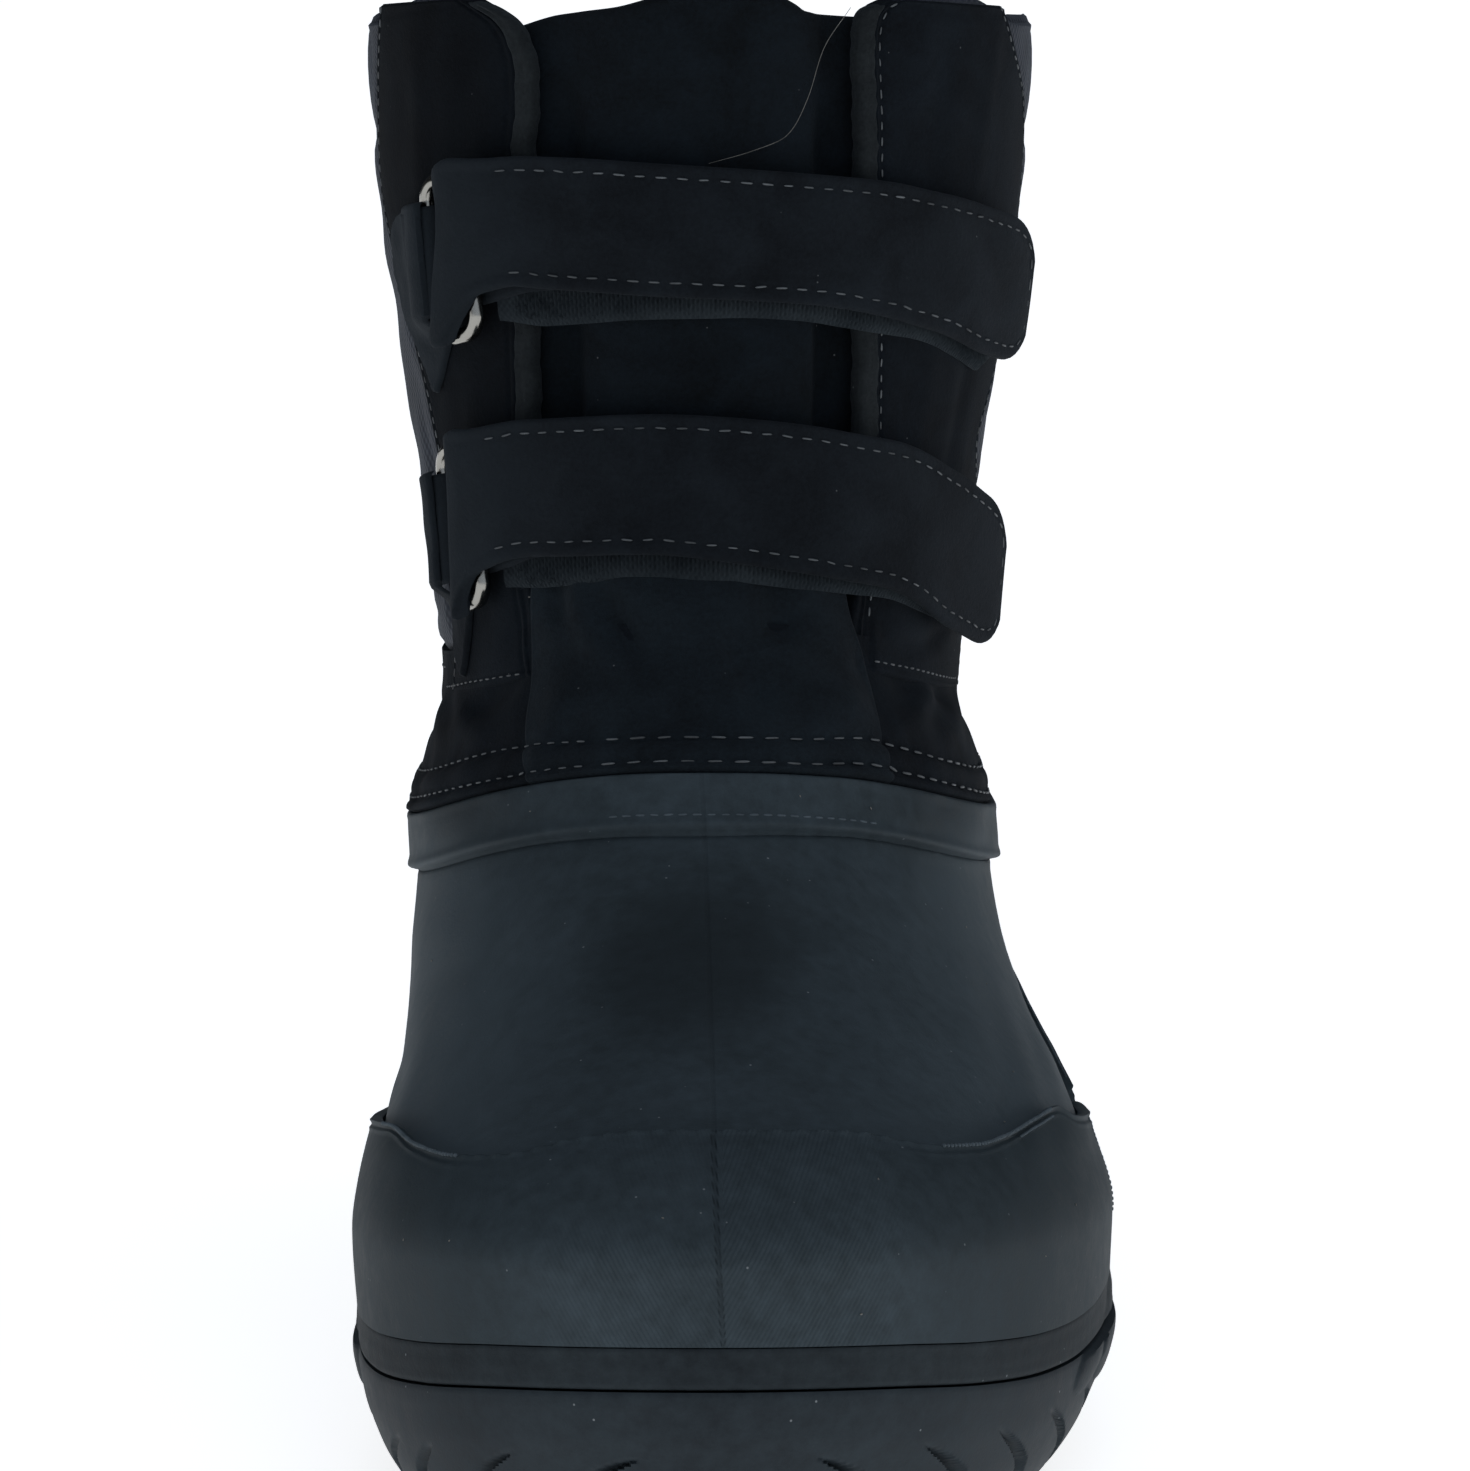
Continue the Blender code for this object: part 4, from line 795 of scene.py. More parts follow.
def overlay(name, edge, first, last, columns, node, dashes=False):
    """A skin from the sole up to edge(turn). Its step is a quarter circle of the distance
    below the edge, with bell curves for the cord, the channel at 2.2 mm and the fine ridge."""
    turns = np.radians(np.linspace(first, last, columns))[None, :]
    top = edge(turns)
    upper_share = 0.80 + 0.20 * np.sin(np.linspace(0.08, 1, 23) * np.pi / 2)
    share = np.concatenate([np.linspace(0, 0.80, 24), upper_share])
    levels = top * share[:, None]
    ground = boot_surface(levels, turns, 1.0)
    depth = running(ground, 0)
    depth = depth[-1:] - depth
    arc = running(ground, 1)
    ends = np.minimum(arc, arc[:, -1:] - arc)
    along = np.broadcast_to(arc[-1:], levels.shape)
    wing = ease(np.abs(np.degrees(turns) + 2), 22, 32) if dashes else 1.0
    cord = 0.42 * ridge(depth - CORD_AT, 0.55)
    if dashes:
        beat = 0.5 + 0.5 * np.tanh(4 * np.sin(along * 2 * np.pi / DASH_PITCH))
        cord = cord * (wing + (1 - wing) * (0.25 + 0.9 * beat))
    fine = wing * (0.18 * ridge(depth - FINE_AT, 0.45) - 0.07 * ridge(depth - 2.2, 0.40))
    step = rounded(depth, 0.8)
    thick = OVERLAY_THICK * step * rounded(ends, 0.8)
    soft = 0.10 * soft_waves(8, arc, depth, 22.0)
    out = OVERLAY_BACK + thick + (cord + fine + soft) * ease(ends, 0.2, 1.5) + 0.12 * (1 - step)
    outer = boot_surface(levels, turns, out)
    inner = boot_surface(levels, turns, OVERLAY_BACK)
    for grid in (outer, inner):
        grid[0, :, 2] = sole_top(grid[0, :, 1]) + 0.08
    wall_piece(name, outer, inner, cap_rubber, "shell_rubber", node)


cap_edge = by_degrees((
    (-84, 2.10), (-70, 2.40), (-58, 2.55), (-49, 2.575), (-39, 2.35), (-30, 2.225), (-23, 2.25),
    (-14, 2.45), (-7, 2.54), (1, 2.56), (12, 2.56), (20, 2.52), (25, 2.42), (31, 2.35),
    (36, 2.36), (41, 2.45), (49, 2.65), (55.5, 2.75), (62, 2.52), (72, 2.35), (84, 2.10)))
heel_edge = by_degrees(((86.5, 2.20), (93, 2.80), (106, 3.35), (130, 4.00), (155, 4.45), (180, 4.55),
                        (205, 4.45), (230, 4.00), (254, 3.35), (267, 2.80), (273.5, 2.20)))
overlay("toe_cap_overlay", cap_edge, -84, 84, 440, "toe_cap", dashes=True)
overlay("heel_counter_overlay", heel_edge, 86.5, 273.5, 220, "heel_counter")

# %% [markdown]
# ## Foxing band and outsole
# Between the shell and the sole runs a band of rubber with a coarser grain, held between
# two grooves. The outsole's side leans in towards the floor, and narrow curved cuts run up
# into it between the lugs, slanting back from the toe. On each side of the ball
# a few facets swell out. Underneath, chevron channels cross the tread and the arch is
# recessed. The cuts could be booleans, but a finely spaced grid whose points are pushed in
# gives the same look with rounded corners, as rubber has.

# %% Foxing band
def plan(turns, out):
    """The sole's outline in plan, `out` mm outside the line where the shell starts."""
    here = bare_surface(0.0, turns)
    way = bare_surface(0.0, turns + SMALL_TURN) - bare_surface(0.0, turns - SMALL_TURN)
    length = np.hypot(way[..., 0], way[..., 1])
    return here[..., 0] + out * way[..., 1] / length, here[..., 1] - out * way[..., 0] / length


FACETS = (      # turn, place up the side, width in degrees, height as a share, depth in mm
    (70, .98, 9, .30, 1.3), (59, .92, 5.5, .16, 1.0), (84, 1.15, 8, .30, 1.0),
    (-66, 1.0, 8, .30, 1.1), (-80, 1.15, 8, .32, 1.0), (108, .95, 10, .3, 1.0),
    (-104, .95, 10, .3, 1.0),
)


def facet(turn, share):
    """How far the side facets stand out: slanting swells at the ball, each the root of a
    lens in turn and height, which gives it a sharp border."""
    degrees = np.degrees(turn)
    total = 0.0 * degrees * share
    for at, where, wide, tall, deep in FACETS:
        slant = share - where - 0.018 * (np.abs(degrees) - abs(at))
        lens = np.clip(1 - ((degrees - at) / wide) ** 2 - (slant / tall) ** 2, 0, 1)
        total = total + deep * lens ** 0.5
    return total


FOXING = 6.3             # mm, the band's height
band_turns = whole_turn(480)[None, :]
band_rows = np.array(((0, .95), (.03, 1.45), (.08, 1.7), (.16, 1.8), (.26, 1.75), (.38, 1.8), (.52, 1.85),
                      (.64, 1.8), (.76, 1.75), (.86, 1.8), (.94, 1.8), (.98, 1.7), (1, 1.35)))


def foxing_grid(rows):
    """The band's wall: rows give the share of its height and how far out it lies there."""
    share = rows[:, :1]
    out = rows[:, 1:] + 0.7 * facet(band_turns, 1.12 + 0.2 * share) * (share > 0.1) * (share < 0.9)
    x, y = plan(band_turns, out)
    return np.stack([x, y, sole_top(y) - FOXING * (1 - share)], -1)


plain_rows = np.stack([band_rows[:, 0], np.full(len(band_rows), -6.0)], -1)
wall_piece("foxing_band", foxing_grid(band_rows), foxing_grid(plain_rows), foxing_rubber,
           "sole_rubber", "midsole", closed=True)

# %% Outsole
LUG, ARCH = 4.5, 6.0     # mm: how deep the channels and the arch's recess are
CUT_DEPTH = 3.2
CHANNEL_MIDDLE, CHANNEL_REACH = -4.0, 71.0   # x of the chevrons' points, and half the tread
side_profile = smooth_table((0, .06, .14, .26, .38, .53, .68, .82, .93, .97, 1),
                            (-9.0, -7.4, -5.4, -3.3, -1.7, -.3, .9, 1.5, 1.8, 1.8, 1.6))
GROOVES = (     # y of each channel's point, and how far its ends sweep back
    (-112, 7), (-92, 9), (-71, 9), (-50, 9), (-29, 8), (-8, 7), (81, -6), (102, -7), (123, -7))
CUTS = (    # turn and height above the tread of a cut's tip, then of its wide end
    (13.9, 11.8, 19.5, 9.0), (27.7, 14.0, 33.7, 9.6), (38.8, 15.6, 45.4, 8.8),
    (48.6, 16.4, 55.3, 8.5), (58.6, 15.5, 64.0, 8.5), (67.5, 14.5, 72.0, 8.5),
    (76.0, 13.5, 80.0, 8.0), (-7.0, 11.3, -11.5, 9.2), (-22.0, 12.8, -27.5, 9.6),
    (-35.2, 13.7, -39.4, 9.0), (-42.9, 13.8, -48.1, 8.7), (-53.0, 14.5, -58.0, 8.7),
    (-62.5, 14.0, -67.0, 8.5), (-72.0, 13.0, -76.0, 8.0),
    (146, 12, 150, 7), (161, 12, 166, 7), (-146, 12, -150, 7), (-161, 12, -166, 7),
)
half_turns = np.concatenate([np.linspace(0, 80, 330), np.linspace(80, 180, 90)[1:]])
sole_turns = np.radians(np.concatenate([half_turns, -half_turns[1:-1][::-1]]))[None, :]
edge_x, edge_y = plan(sole_turns, 0.0)
edge_line = np.stack([edge_x, edge_y, 0 * edge_x], -1)
edge_arc = running(edge_line, 1)[0]


def groove(x, y):
    """1 in the chevron channels, 0 between them, with walls 1 mm wide."""
    total = 0.0 * x
    for middle, sweep in GROOVES:
        line = middle + sweep * np.abs(x - CHANNEL_MIDDLE) / CHANNEL_REACH
        total = np.maximum(total, 1 - ease(np.abs(y - line), 2.1, 3.0))
    return total


def cut(arc, height):
    """1 in the curved cuts. A cut's middle leans towards the toe by a power curve of its
    height above the tread. Across it is a rounded valley 4 mm wide that narrows to its tip."""
    total = 0.0 * arc * height
    for tip_turn, tip, wide_turn, wide in CUTS:
        start, end = (np.interp(turn % 360, np.degrees(sole_turns[0]) % 360, edge_arc)
                      for turn in (wide_turn, tip_turn))
        up = np.clip((height - wide) / (tip - wide), -1.5, 1.3)
        middle = start + (end - start) * flattened(up, 1.3) * np.where(up < 0, 0.5, 1.0)
        half = 1.1 + 1.0 * np.clip(1.05 - up, 0, 1) ** 0.7
        valley = np.clip(1 - ((arc - middle) / half) ** 2, 0, 1) ** 0.8
        total = np.maximum(total, valley * ease(1.12 - up, 0.0, 0.75))
    return total


def outsole_top(y):
    return sole_top(y) - FOXING - GAP


shares = np.concatenate([np.linspace(0, 0.9, 48), [0.93, 0.955, 0.975, 0.99, 1.0]])[:, None]
out = side_profile(shares) + 0 * sole_turns
x, y = plan(sole_turns, out)
height = shares * (outsole_top(y) - tread_height(y))
depth = cut(edge_arc[None, :], height)
swell = facet(sole_turns, shares) * (1 - depth) * ease(1 - shares, 0.0, 0.03)
x, y = plan(sole_turns, out - CUT_DEPTH * depth + swell)
low = tread_height(y)
z = np.maximum(low + shares * (outsole_top(y) - low), low + LUG * groove(x, y))
wall = np.stack([x, y, z], -1)
spine = np.stack([np.full(x.shape[1], -3.5), np.clip(y[0], -108.0, 112.0) * 0.98], -1)
inward = np.linspace(1, 0.02, 24)[:-1][:, None, None]
flat = spine + (wall[0, :, :2] - spine) * inward
x, y = flat[..., 0], flat[..., 1]
arch = ARCH * ease(y, 4, 14) * (1 - ease(y, 52, 60))
worn = 0.03 * np.maximum(soft_waves(3, x, y, 30.0), 0)      # the tread isn't quite flat
under = tread_height(y) + np.maximum(LUG * groove(x, y), arch)
under = np.where((under < 0.3) & (inward[..., 0] < 0.97), np.maximum(under + worn, 0), under)
bottom = np.concatenate([flat, under[..., None]], -1)[::-1]
cover = np.stack([np.stack(plan(sole_turns[0], reach), -1) for reach in (-6.0, -14.0)])
cover = np.concatenate([cover, outsole_top(cover[..., 1])[..., None]], -1)
tube_piece("lugged_outsole", np.concatenate([bottom, wall[1:], cover]), sole_rubber,
           "outsole")

# %% [markdown]
# ## The leg
# The leg is cut and sewn from flat pieces: an ankle band whose hem is stitched to the
# shell by two rows, a front panel between two seams, suede quarters with thick folded
# edges on each side of the throat, and nylon round the back with a padded collar. Each is
# a thin slab that lies on the boot's own form. Its thickness falls away as a quarter
# circle at its edges, and its creases are given one by one in millimetres along the leg.

# %% Helpers for cloth on the leg
CROWDING = 0.944


def spread(count, near):
    """Numbers from 0 to 1 that crowd together near both ends, where an edge is rounded: a
    straight run less a sine wave, and the smaller `near` is, the closer they lie there."""
    t = np.linspace(0, 1, count)
    return t - (1 - near) * np.sin(2 * np.pi * t) / (2 * np.pi) * CROWDING


def border_of(sides):
    """The distance to the nearest of several edges."""
    return np.minimum.reduce(np.broadcast_arrays(*sides))


front_line = np.radians(np.linspace(-180, 180, 721))
front_arc = running(bare_surface(8.2, front_line)[None], 1)[0]
front_arc = front_arc - np.interp(0.0, front_line, front_arc)


def leg_arc(turn):
    """Distance round the ankle from the front, in mm, outer side positive."""
    return np.interp(turn, front_line, front_arc)


def creases(u, v, rows):
    """Soft troughs and ridges. Each row is its middle (u round the leg, v height, in mm),
    its direction in degrees, half length, width, how much it bends and how deep it is:
    a bell across its line times a flatter bell along it."""
    total = 0.0 * u * v
    for middle_u, middle_v, direction, length, width, bend, deep in rows:
        a = math.radians(direction)
        along = (u - middle_u) * math.cos(a) + (v - middle_v) * math.sin(a)
        off = (v - middle_v) * math.cos(a) - (u - middle_u) * math.sin(a)
        off = off - bend * along ** 2 / length
        total = total + deep * ridge(off, width) * np.exp(-(along / length) ** 4)
    return total


ANKLE_CREASES = (     # u, v, direction, half length, width, bend, depth
    (-13, 127, -55, 7, 2.6, .1, -1.5), (1, 124, -48, 10, 3.4, .1, 1.1), (7, 119, -57, 6, 2.4, .1, -1.2),
    (13, 130, -70, 5, 3.6, .0, -1.8), (-25, 131, -80, 5, 3.0, .0, -1.4), (-19, 126, -60, 7, 2.6, .1, .9),
    (-3, 112, 18, 16, 4.0, .10, -.5), (22, 114, -30, 12, 3.6, .1, .5), (-24, 110, 70, 8, 2.4, .0, .5),
    (-43, 112, 20, 10, 2.4, .2, -.9), (-52, 108, -12, 12, 2.6, .1, .8), (-39, 118, 35, 8, 2.2, .1, -.9),
    (41, 117, -24, 10, 2.2, .2, -1.2), (48, 110, 12, 11, 2.6, .1, .9), (36, 122, 30, 7, 2.0, .1, -1.1),
    (58, 113, -30, 10, 2.2, .1, -1.0), (70, 106, 8, 16, 3.0, .1, .9), (-70, 106, -8, 16, 3.0, .1, .9),
    (95, 104, -5, 20, 3.0, .1, -.8), (-95, 103, 5, 20, 3.0, .1, -.8), (130, 108, 3, 26, 3.2, .1, -.9),
    (-130, 108, -3, 26, 3.2, .1, -.9), (165, 112, 0, 30, 3.4, .05, -.8), (-165, 112, 0, 30, 3.4, .05, -.8),
)
QUARTER_CREASES = (
    (-33, 128, 60, 9, 2.4, .1, -.5), (-45, 150, 78, 16, 3.2, .0, .35), (-56, 170, 82, 18, 3.4, .0, -.35),
    (-38, 208, 74, 14, 3.4, .1, -.35), (-52, 206, 86, 16, 3.6, .0, .4), (-62, 124, 40, 10, 2.6, .1, -.6),
    (34, 128, -55, 9, 2.4, .1, -.6), (47, 130, -30, 10, 2.4, .1, -.7), (60, 124, -18, 10, 2.6, .1, .6),
    (44, 160, 88, 16, 3.4, .0, .3), (58, 158, 84, 14, 3.0, .0, -.45), (40, 208, 86, 16, 3.4, .0, -.3),
    (56, 210, 80, 16, 3.2, .0, .35), (52, 120, 0, 12, 2.0, .1, -.7),
)
BACK_CREASES = (
    (84, 150, 80, 26, 5, .0, .5), (104, 170, 88, 30, 6, .0, -.5), (140, 160, 86, 30, 6, .0, .5),
    (-84, 150, -80, 26, 5, .0, .5), (-104, 176, -88, 30, 6, .0, -.5), (-140, 160, -86, 30, 6, .0, .5),
    (88, 120, 8, 16, 3, .1, -.8), (120, 124, -6, 20, 3, .1, -.8), (-88, 122, -8, 16, 3, .1, -.8),
    (-122, 124, 6, 20, 3, .1, -.8), (165, 130, 0, 22, 3.4, .0, -.7), (-168, 132, 0, 22, 3.4, .0, -.7),
    (70, 146, 78, 12, 2.4, .0, -.6), (-68, 146, -76, 12, 2.4, .0, -.6),
)


THINNEST = 0.12          # the least thickness of cloth at an edge, in mm or as a share


def cloth_panel(name, levels, turns, base, thick, back, material, relief, node=None, folds=(),
                edge=0.7, waves=0.15, seed=1, calm=1.0):
    """A thin slab on the leg. Its outside lies base + thick * quarter circle of the distance
    to the nearest edge, plus creases, gentle waves and relief(left, right, low, high), which
    are the distances to its four edges; its back lies at back(left, right)."""
    ground = boot_surface(levels, turns, 0.0)
    across, up = running(ground, 1), running(ground, 0)
    edges = across, across[:, -1:] - across, up, up[-1:] - up
    border = border_of(edges)
    out = base + thick * np.maximum(rounded(border, edge), THINNEST)
    soft = creases(leg_arc(turns), ground[..., 2], folds)
    soft = soft + waves * soft_waves(seed, across, up, 17.0)
    out = out + soft * ease(border, 0.3, 3.0) * calm + relief(*edges)
    outer = boot_surface(levels, turns, out)
    inner = boot_surface(levels, turns, np.minimum(back(*edges[:2]), out - THINNEST))
    return wall_piece(name, outer, inner, material, "leg_suede", node)


print("arc round the ankle:", round(float(front_arc[-1] - front_arc[0])), "mm")

# %% Ankle band with its hem
hem_low = by_degrees((
    (-180, 6.20), (-100, 6.22), (-60, 6.22), (-36, 6.19), (-16, 6.11), (2, 6.08), (16, 6.13),
    (31, 6.31), (50, 6.32), (90, 6.26), (180, 6.20)))
hem_high = by_degrees((
    (-180, 6.62), (-100, 6.62), (-65, 6.62), (-38, 6.69), (-16, 6.56), (2, 6.53), (16, 6.58),
    (33, 6.77), (52, 6.71), (90, 6.64), (180, 6.62)))
ankle_out = smooth_table((5.95, 5.975, 6.0, 6.06, 6.16, 6.4, 6.7, 7.0, 7.5, 8.3),
                         (-0.4, .75, 1.25, 1.3, .85, .75, .35, .35, .25, .0))
leg_turns = whole_turn(380)[None, :]


HEM_STITCH = 4.4         # mm from one stitch of the hem to the next


def hem_flat(levels, turns):
    """On the outer side the hem is pressed flatter, by up to 0.8 mm."""
    return 0.8 * ridge(np.degrees(turns) - 88.0, 26.0) * (1 - ease(levels, 6.1, 6.75))


def hem_relief(levels, turns):
    """Each stitch row lies in a trough, and the cloth puckers between its stitches."""
    low, high = hem_low(turns), hem_high(turns)
    puckers = 0.5 + 0.5 * np.sin(leg_arc(turns) * 2 * np.pi / HEM_STITCH)
    rows = ridge((levels - low) * 10.0, 0.75) + ridge((levels - high) * 10.5, 0.75)
    puff = ridge((levels - (low + high) / 2) * 10.0, 1.6)
    return -rows * (0.30 + 0.22 * puckers) + 0.30 * puff


ankle_base = np.concatenate([[5.95, 5.96, 5.975, 5.99], np.linspace(6.01, 8.28, 54)])[:, None]
ankle_levels = ankle_base + band_lift(leg_turns) * (1 - ease(ankle_base, 6.2, 8.0))
ankle_ground = boot_surface(ankle_levels, leg_turns, 0.0)
around, up = leg_arc(leg_turns), ankle_ground[..., 2]
ankle_soft = creases(around, up, ANKLE_CREASES) * ease(ankle_levels, 6.6, 7.1)
ankle_soft = ankle_soft + 0.22 * soft_waves(21, around, up, 14.0)
leg_degrees = np.degrees(leg_turns)
behind_quarters = np.where(leg_degrees > 0, ease(leg_degrees, 82, 86), ease(-leg_degrees, 66, 70))
top_edge = 0.35 * behind_quarters * ease(ankle_base, 7.8, 8.1)      # over the nylon there
ankle = (ankle_out(ankle_base) + hem_relief(ankle_levels, leg_turns) + top_edge
         - hem_flat(ankle_base, leg_turns) + ankle_soft * (1 - 0.95 * ease(ankle_base, 7.8, 8.15)))
wall_piece("ankle_band", boot_surface(ankle_levels, leg_turns, ankle),
           boot_surface(np.maximum(ankle_levels, 6.03), leg_turns, -3.0), (leg_suede, lining),
           "leg_suede", closed=True)

# %% Front panel between its two seams
seam_inner = smooth_table((5.9, 6.08, 6.8, 7.55, 8.5, 9.2),
                          (-28.5, -29.5, -32.0, -33.5, -34.5, -34.5))
seam_outer = smooth_table((5.9, 6.1, 6.8, 7.6, 8.1, 8.5, 9.2),
                          (34.5, 34.8, 35.5, 36.0, 34.6, 30.5, 28.0))
panel_base = np.concatenate([[5.945, 5.955, 5.97, 5.985], np.linspace(6.005, 8.95, 74)])[:, None]
first, last = seam_inner(panel_base), seam_outer(panel_base)
panel_turns = np.radians(first + (last - first) * spread(130, 0.35)[None, :])
panel_levels = panel_base + band_lift(panel_turns) * (1 - ease(panel_base, 6.2, 8.0))


def front_relief(left, right, *_):
    """The front panel follows the hem below, and sinks behind the throat above level 8.4."""
    follow = ankle_out(panel_base) + hem_relief(panel_levels, panel_turns)
    puff = 0.6 * ease(np.minimum(left, right), 0.5, 7.0) * ease(panel_base, 6.8, 7.4)
    return follow * (1 - ease(panel_base, 8.0, 8.4)) + puff - 1.6 * ease(panel_base, 8.45, 8.95)


cloth_panel("front_panel", panel_levels, panel_turns, 0.0, 0.55, lambda *_: -0.4, panel_suede,
            front_relief, folds=ANKLE_CREASES, edge=0.6, waves=0.25, seed=5)

# %% Nylon round the back, lined inside
wall_levels = np.concatenate([np.linspace(8.0, 10.96, 66), [10.98, 10.99, 11.0]])[:, None]
flare = np.clip((wall_levels - 10.4) / 0.6, 0, 1) ** 2
throat_outer = turn_for_reach(wall_levels, 31.5, True)
throat_inner = turn_for_reach(wall_levels, 32.5 + 10.0 * flare, False)
wall_share = np.linspace(0, 1, 260)[None, :]
wall_turns = front_zero(throat_outer + (throat_inner + 2 * np.pi - throat_outer) * wall_share)


def collar_drop(turn):
    """The collar sits lower than the quarters' tops, by 3 mm and by 6 mm round the back: the
    drop is a share of the height above level 8."""
    away = np.abs(np.degrees(turn))
    return 0.028 * ease(away, 50, 68) + 0.032 * ease(away, 90, 125)


wall_levels = 8.0 + (wall_levels - 8.0) * (1 - collar_drop(wall_turns))
rear_inner = smooth_table((7.8, 8.25, 8.6, 9.1, 9.5, 10.05, 10.3, 10.65, 10.97),
                          (-66, -63.5, -61.5, -60.5, -62.5, -71.5, -77, -72.5, -66.5))
rear_outer = smooth_table((7.9, 8.3, 8.8, 9.12, 9.35, 9.55, 10.0, 10.3, 10.6, 10.8, 10.97),
                          (77, 82, 84, 79, 72.5, 77.5, 84, 84, 78, 68.5, 61))
around = leg_arc(wall_turns)
beyond = np.where(wall_turns > 0, around - leg_arc(np.radians(rear_outer(wall_levels))),
                  leg_arc(np.radians(rear_inner(wall_levels))) - around)
nylon_free = ease(beyond, 0.5, 4.0)      # 0 where a suede quarter lies over it


def nylon_relief(*_):
    """Puffed between its seams: fuller at the ankle and under the collar, drawn in by the
    seam down the middle of the back."""
    heel_seam = np.abs(np.abs(around) - front_arc[-1])
    drawn_in = -0.9 * ridge(heel_seam, 1.3) - 0.5 * ridge((wall_levels - 10.50) * 38.0, 1.6)
    full = 0.45 * ridge(wall_levels - 8.6, 0.35) + 0.7 * ridge(wall_levels - 10.35, 0.35)
    full = full + 0.65 * ridge(wall_levels - 8.47, 0.16)
    tucked = -1.2 * (1 - ease(wall_levels, 8.25, 8.35))     # behind the ankle band's top edge
    return (drawn_in + full) * nylon_free + tucked


cloth_panel("nylon_back", wall_levels, wall_turns, -0.75, 0.55, lambda *_: -3.0, (nylon, lining),
            nylon_relief, "shaft", folds=BACK_CREASES, waves=0.35, seed=7, calm=nylon_free)

# %% [markdown]
# ## Suede quarters
# On each side of the throat a suede quarter runs from a folded, padded front edge to a
# seam where the nylon starts. The fold shows its felted cut edge and is a little thicker
# than the rest. At the collar the inner quarter curves away and the outer one
# has a rounded corner.

# %% Quarters
throat_inner_reach = smooth_table(
    (7.8, 8.3, 8.8, 9.4, 10.2, 10.37, 10.57, 10.71, 10.80, 10.87, 10.93, 10.99),
    (26.0, 27.2, 28.4, 28.4, 28.9, 28.9, 28.2, 28.5, 29.5, 31.2, 34.4, 38.6))
throat_outer_reach = smooth_table(
    (7.9, 8.2, 8.45, 8.7, 8.9, 10.0, 10.5, 10.8, 10.88, 10.94, 10.98),
    (25.5, 25.2, 25.6, 26.6, 27.2, 27.4, 27.2, 26.8, 27.3, 28.8, 32.0))


def quarter_grid(bottom, top, reach, rear, outer):
    """A quarter's levels and turns, from its front edge to its rear seam on the outer side
    and from its rear seam to its front edge on the inner side."""
    levels = bottom + (top - bottom) * spread(104, 0.4)[:, None]
    ends = [turn_for_reach(levels, reach(levels), outer), np.radians(rear(levels))]
    first, last = ends if outer else ends[::-1]
    return levels, first + (last - first) * spread(110, 0.3)[None, :]


inner_levels, inner_turns = quarter_grid(7.88, 10.985, throat_inner_reach, rear_inner, False)
outer_levels, outer_turns = quarter_grid(7.96, 10.975, throat_outer_reach, rear_outer, True)


def fold_relief(front, rear, low, high, width, groove_at):
    """The front edge: a step down to the felted roll, then the channel of its stitching."""
    band = -0.50 * (1 - ease(front, width - 0.6, width)) - 0.30 * ridge(front - groove_at, 0.5)
    sewn = 0.22 * ridge(low - 1.6, 0.6) + 0.25 * ridge(rear - 1.8, 0.6) + 0.2 * ridge(high - 2.0, 0.7)
    return band - sewn


def inner_relief(left, right, low, high):
    return fold_relief(right, left, low, high, 2.7, 3.7)


def outer_relief(left, right, low, high):
    """The same, and its lower front corner is sunk under the front panel."""
    corner = (1 - ease(left, 4.0, 6.0)) * (1 - ease(outer_levels, 8.35, 8.5))
    return fold_relief(left, right, low, high, 2.4, 3.1) - 0.6 * corner


def fold_back(front):
    """The back of a quarter: deep behind its padded front edge, thin cloth beyond."""
    return -3.05 + 2.1 * ease(front, 3.5, 6.5)


QUARTER = dict(folds=QUARTER_CREASES, edge=0.9, waves=0.10)
cloth_panel("quarter_inner", inner_levels, inner_turns, -0.55, 1.1,
            lambda left, right: fold_back(right), leg_suede, inner_relief, seed=11, **QUARTER)
cloth_panel("quarter_outer", outer_levels, outer_turns, -0.55, 1.1,
            lambda left, right: fold_back(left), leg_suede, outer_relief, seed=12, **QUARTER)

# %% Cut edges of the throat
ROLL_HALF_WIDE, ROLL_HALF_DEEP = 1.65, 1.85      # mm


def cut_edge(name, levels, reach, outer):
    """The quarter's folded edge, seen end on: a soft roll 3.3 mm wide and 3.7 mm deep that
    wraps the throat's edge, its width a little uneven and a groove along it where its two
    layers meet. Its section is a superellipse."""
    level = levels[:, None]
    uneven = 0.12 * np.sin(level * 31) + 0.08 * np.sin(level * 77)
    middle = reach(level) + ROLL_HALF_WIDE - 1.0 + uneven
    turn = (np.arange(28) * np.pi / 14)[None, :]
    side, deep = flattened(np.cos(turn), 0.7), flattened(np.sin(turn), 0.7)
    full = np.maximum(rounded(from_ends(len(levels))[:, None] * 0.35, 1.0), 0.15)
    turns = turn_for_reach(level, middle + ROLL_HALF_WIDE * side * full, outer)
    rough = 0.10 * soft_waves(17 + outer, level * 40 + 0 * turn, 3 * turn, 2.2)
    deep = deep * (1 - 0.16 * ridge(side - 0.1, 0.25))
    rings = boot_surface(level, turns, -1.15 + (ROLL_HALF_DEEP + rough) * deep * full)
    return tube_piece(name, rings if outer else rings[:, ::-1], edge_felt)


cut_edge("throat_edge_inner", np.linspace(8.6, 10.975, 200), throat_inner_reach, False)
cut_edge("throat_edge_outer", np.linspace(8.6, 10.955, 200), throat_outer_reach, True)

